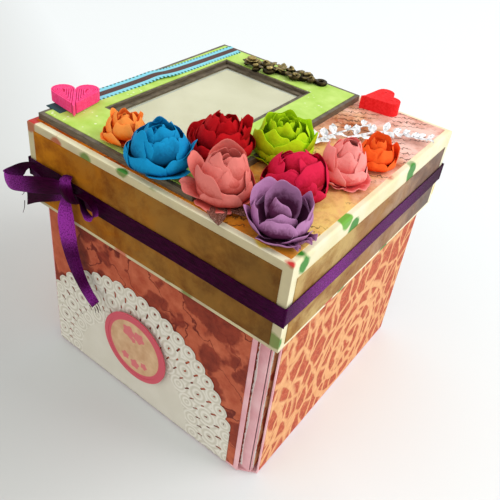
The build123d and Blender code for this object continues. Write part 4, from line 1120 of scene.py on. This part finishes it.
paper_rose("rose_coral", coral_paper, closed_rings(60, 0.03, 0.0, 0.92)[1:] + [
    ((119, 250), 0.45, 0.5, 0.04, 1.0, 1.5, 0.4, 0, 0.02, 0),
    ((175,), 0.35, 0.8, 0.22, 0.96, 1.7, 0.6, 0.02, 0.03, 0),
    ((34,), 0.3, 0.7, 0.3, 0.94, 1.5, 0.55, 0.04, 0.03, 0),
    ((224,), 0.2, 0.98, 0.8, 0.86, 1.5, 0.7, 0.1, 0.04, 0),
    ((-72,), 0.08, 0.98, 0.4, 0.64, 1.8, 0.75, 0.02, 0.02, 0),
    ((195, 245), 0.03, 0.9, 1.24, 0.42, 1.3, 0.9, 0.08, 0.07, 0),
    ((-25, -95, 40), 0.02, 0.86, 1.08, 0.14, 1.3, 1.0, 0.05, 0.08, 0)], 23)
paper_rose("rose_vermilion", vermilion_paper, closed_rings(25, 0.05, 0.1)[2:] + [
    (spread(2, 34), 0.4, 0.14, 0.12, 0.88, 0.8, 0.1, 0, 0.02, 0),
    ((214, -20), 0.3, 0.44, 0.3, 0.96, 1.2, 0.3, 0.04, 0.04, 0),
    ((110,), 0.25, 0.66, 0.62, 1.06, 1.5, 0.45, 0.06, 0.04, 0.1),
    ((-61,), 0.15, 0.8, 0.5, 0.8, 1.5, 0.5, 0.04, 0.03, 0.1),
    ((214,), 0.1, 0.9, 1.16, 0.7, 1.3, 0.7, 0.1, 0.04, 0.1),
    ((40,), 0.1, 0.86, 0.86, 0.84, 1.4, 0.7, 0.08, 0.04, 0.1)], 29)

# Quilled hearts
# Strips of dyed paper wound into coils, pinched to a point and glued in pairs. The wound edges
# show on top as fine rings, and the smooth outside of the strip shows at the side.


def rolled_strip(name, deep, bright):
    """Dyed strip paper, almost even in colour, with a soft nap on its edges."""
    material, tree, shader, place = start_material(name, 0.66)
    nap = add_node(tree, "TexNoise", {"Vector": place, "Scale": per(1.1), "Detail": 4.0})
    colour = add_node(tree, "ValToRGB", {"Fac": nap}, stops=((0.3, deep), (0.68, bright)))
    finish_material(tree, shader, colour, nap, 0.08 * mm)
    return material


dress(rolled_strip("pink_quilling_paper", "#FC3078", "#FF5492"), "pink_heart")
dress(rolled_strip("red_quilling_paper", "#F00C12", "#FF3034"), "red_heart")

# Leaves under the roses
# Two dark green paper leaves and two skeleton leaves, whose soft tissue was eaten away so that
# only the brown veins and a pink film are left. Their stalks are glued under the roses.


def green_leaf(name):
    """Cloudy dark green paper with side veins pressed in."""
    material, tree, shader, place = start_material(name, 0.5)
    along = add_node(tree, "Attribute", attribute_name="along").outputs["Fac"]
    across = add_node(tree, "Attribute", attribute_name="across").outputs["Fac"]
    side = add_node(tree, "Math", {0: across}, operation="ABSOLUTE")
    lean = add_node(tree, "Math", {0: side, 1: -0.22, 2: along}, operation="MULTIPLY_ADD")
    veins = add_node(tree, "Math", {0: lean, 1: 14 * pi}, operation="MULTIPLY")
    vein = add_node(tree, "Math", {0: veins}, operation="SINE")
    cloud = add_node(tree, "TexNoise", {"Vector": place, "Scale": per(4), "Detail": 4.0})
    colour = add_node(tree, "ValToRGB", {"Fac": cloud}, stops=((0.3, "#1C2E10"), (0.7, "#3A5218")))
    finish_material(tree, shader, colour, vein, 0.2 * mm)
    return material


def skeleton_leaf(name):
    """A film of pink-brown tissue between 15 pairs of veins that branch from the rib."""
    material, tree, shader, place = start_material(name, 0.55)
    along = add_node(tree, "Attribute", attribute_name="along").outputs["Fac"]
    across = add_node(tree, "Attribute", attribute_name="across").outputs["Fac"]
    side = add_node(tree, "Math", {0: across}, operation="ABSOLUTE")
    rib = add_node(tree, "Math", {0: side, 1: 0.1}, operation="LESS_THAN")
    lean = add_node(tree, "Math", {0: side, 1: -0.3, 2: along}, operation="MULTIPLY_ADD")
    steps = add_node(tree, "Math", {0: lean, 1: 15.0}, operation="MULTIPLY")
    step = add_node(tree, "Math", {0: steps}, operation="FRACT")
    branch = add_node(tree, "Math", {0: step, 1: 0.26}, operation="LESS_THAN")
    net = add_node(tree, "TexVoronoi", {"Vector": place, "Scale": per(1.2)}, feature="DISTANCE_TO_EDGE")
    fine = add_node(tree, "Math", {0: net, 1: 0.09}, operation="LESS_THAN")
    strong = add_node(tree, "Math", {0: rib, 1: branch}, operation="MAXIMUM")
    veins = add_node(tree, "Math", {0: strong, 1: fine}, operation="MAXIMUM")
    colour = add_node(tree, "Mix", {0: veins, 6: linear("#C08A7C"), 7: linear("#6E4436")}, data_type="RGBA")
    alpha = add_node(tree, "MapRange", {0: veins, 3: 0.35, 4: 0.95})
    finish_material(tree, shader, colour.outputs[2], veins, 0.1 * mm)
    join(tree, alpha, shader.inputs["Alpha"])
    return material


def lay_leaf(node, material, bearing, length, width, rise):
    """A curved leaf from the corner of its place where its stalk is hidden."""
    low, high = (np.array(corner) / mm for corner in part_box(node))
    middle = (low + high) / 2
    leaf = Shape()
    leaf.leaf((-length / 2, 0, 0.3), 0, length, width, rise=rise, dome=0.6, fold=0.16, tip=0.9, rows=13,
              columns=7)
    leaf.tube([(-length / 2 - 2.5, 0, 0.45), (-length / 2, 0, 0.45), (length / 2 - 1, 0, 0.5 + rise * 0.8)],
              [0.35, 0.35, 0.15], sides=6)
    points = leaf.placed((middle[0], middle[1], low[2]), bearing)
    add_piece(node + "_paper", node, "lid", material, points, leaf.faces, thickness=0.15,
              marks={"along": leaf.along, "across": leaf.across})


green_paper = green_leaf("dark_green_leaf_paper")
brown_skeleton = skeleton_leaf("pink_brown_skeleton_leaf")
lay_leaf("dark_leaf_left", green_paper, 187, 18, 6.5, 1.2)
lay_leaf("dark_leaf_right", green_paper, 80, 13, 6.5, 0.8)
lay_leaf("lace_leaf_left", brown_skeleton, -48, 22, 8.6, 2.2)
lay_leaf("lace_leaf_right", brown_skeleton, -15, 13, 6.5, 1.5)

# Foil sprigs
# Leaves of crumpled silver foil, twisted in pairs on a thin wire wound with white paper. One
# lies beside the frame and the other runs towards the lid's right corner.


def crumpled_foil(name):
    """Thin aluminium foil, bright, with soft dents of 2 mm."""
    material, tree, shader, place = start_material(name, 0.3)
    dents = add_node(tree, "TexNoise", {"Vector": place, "Scale": per(2), "Detail": 3.0})
    colour = add_node(tree, "ValToRGB", {"Fac": dents}, stops=((0.3, "#B4B6BA"), (0.5, "#FAFBFC")))
    finish_material(tree, shader, colour, dents, 0.6 * mm)
    shader.inputs["Metallic"].default_value = 0.4
    return material


def foil_sprig(node, stations, leaf_length, leaf_width, count, seed):
    """Leaves in pairs along a wire. They are larger near the root and lean towards the tip."""
    draw = np.random.default_rng(seed)
    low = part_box(node)[0][2] / mm
    path = smooth_path([(x, y, low + z) for x, y, z in stations], 8)
    sprig = Shape()
    sprig.tube(path, np.linspace(0.55, 0.3, len(path)), sides=6)
    runs = np.gradient(path, axis=0)
    for index in range(count):
        share = (index + 0.7) / count
        row = int(share * (len(path) - 1))
        bearing = np.degrees(np.arctan2(runs[row][1], runs[row][0]))
        size = 1 - 0.45 * share
        for lean in (-52, 52):
            swing = bearing + lean + draw.uniform(-14, 14)
            length = leaf_length * size * draw.uniform(0.8, 1.15)
            rise = draw.uniform(0.8, 3.2) * size
            sprig.leaf(path[row], swing, length, leaf_width * size, rise=rise, dome=0.5, fold=0.35, rows=6,
                       columns=5, crumple=draw)
    add_piece(node + "_foil", node, "lid", foil, sprig.placed((0, 0, 0), 0), sprig.faces,
              thickness=0.12, smooth=False)


foil = crumpled_foil("crumpled_silver_foil")
short_wire = [(30.4, 2.0, 0.8), (33.5, 11.0, 1.4), (37.5, 24.0, 2.0), (44.6, 44.5, 2.2)]
long_wire = [(42.5, 23.0, 1.0), (51.3, 39.5, 1.6), (59.7, 46.0, 1.6), (67.6, 49.0, 1.8), (75.5, 51.5, 2.4)]
foil_sprig("short_sprig", short_wire, leaf_length=8.6, leaf_width=5.6, count=6, seed=31)
foil_sprig("long_sprig", long_wire, leaf_length=8.4, leaf_width=4.6, count=8, seed=37)

# Plain floor, lamps and camera
# A wide matt sheet of white paper under the box, with a painted shadow greying it towards the front
# left, a large soft window light from behind and to the right, and a weak fill, so that the right side
# is bright and the front is in soft shade.


def floor_paper(name):
    """Matt white paper, with a painted shadow of the box that greys it towards the front left."""
    material, tree, shader, place = start_material(name, 0.95)
    reach = add_node(tree, "VectorMath", {0: place, 1: (0.45, 0.9, 0)}, operation="DOT_PRODUCT")
    run = add_node(tree, "Math", {0: reach.outputs["Value"], 1: 2.2, 2: 0.75}, operation="MULTIPLY_ADD")
    # painted shadow: the grey end of the ramp lies towards the front left
    colour = add_node(tree, "ValToRGB", {"Fac": run}, stops=((0.0, "#969488"), (0.78, "#EAEEEE")))
    join(tree, colour, shader.inputs["Base Color"])
    return material


floor_side = 8.0
bpy.ops.mesh.primitive_plane_add(size=floor_side, location=(0, 0, -0.1 * mm))
floor = bpy.context.object
floor.name = "floor"
floor.data.materials.append(floor_paper("white_floor_paper"))


def soft_lamp(name, place, aim, size, power):
    """A square soft light that faces a point."""
    lamp = bpy.data.lights.new(name, "AREA")
    lamp.size = size
    lamp.energy = power
    holder = bpy.data.objects.new(name, lamp)
    holder.location = place
    holder.rotation_euler = (Vector(aim) - Vector(place)).to_track_quat("-Z", "Y").to_euler()
    bpy.context.scene.collection.objects.link(holder)


box_middle = (0, 0, 0.08)
soft_lamp("window_light", place=(1.7, 1.0, 1.9), aim=box_middle, size=1.3, power=32)
soft_lamp("front_fill", place=(-0.6, -1.2, 0.9), aim=box_middle, size=1.2, power=1.5)
room = bpy.data.worlds.new("soft_room")
bpy.context.scene.world = room
room.use_nodes = True
room_light = room.node_tree.nodes["Background"]
room_light.inputs["Color"].default_value = linear("#FFFFFF")
room_light.inputs["Strength"].default_value = 0.9

# the camera stands front right of the box, looks down on it, and is tipped a little to one side
camera_place = (156.9 * mm, -235.9 * mm, 292.2 * mm)
camera_bearing, camera_height, camera_tip = radians(33.87), radians(34.96), radians(6.68)
camera = bpy.data.cameras.new("camera")
camera.lens = 44.79
camera.sensor_width = 36
camera.shift_x = 0.0212
camera.shift_y = -0.0842
eye = bpy.data.objects.new("camera", camera)
right = Vector((cos(camera_bearing), sin(camera_bearing), 0))
back = Vector((sin(camera_bearing) * cos(camera_height), -cos(camera_bearing) * cos(camera_height),
               sin(camera_height)))
up = back.cross(right)
camera_x = cos(camera_tip) * right + sin(camera_tip) * up
camera_y = -sin(camera_tip) * right + cos(camera_tip) * up
eye.matrix_world = Matrix(
    [(camera_x[i], camera_y[i], back[i], camera_place[i]) for i in range(3)] + [(0, 0, 0, 1)])
bpy.context.scene.collection.objects.link(eye)
bpy.context.scene.camera = eye
bpy.context.scene.view_settings.view_transform = "Standard"

bpy.context.view_layer.update()
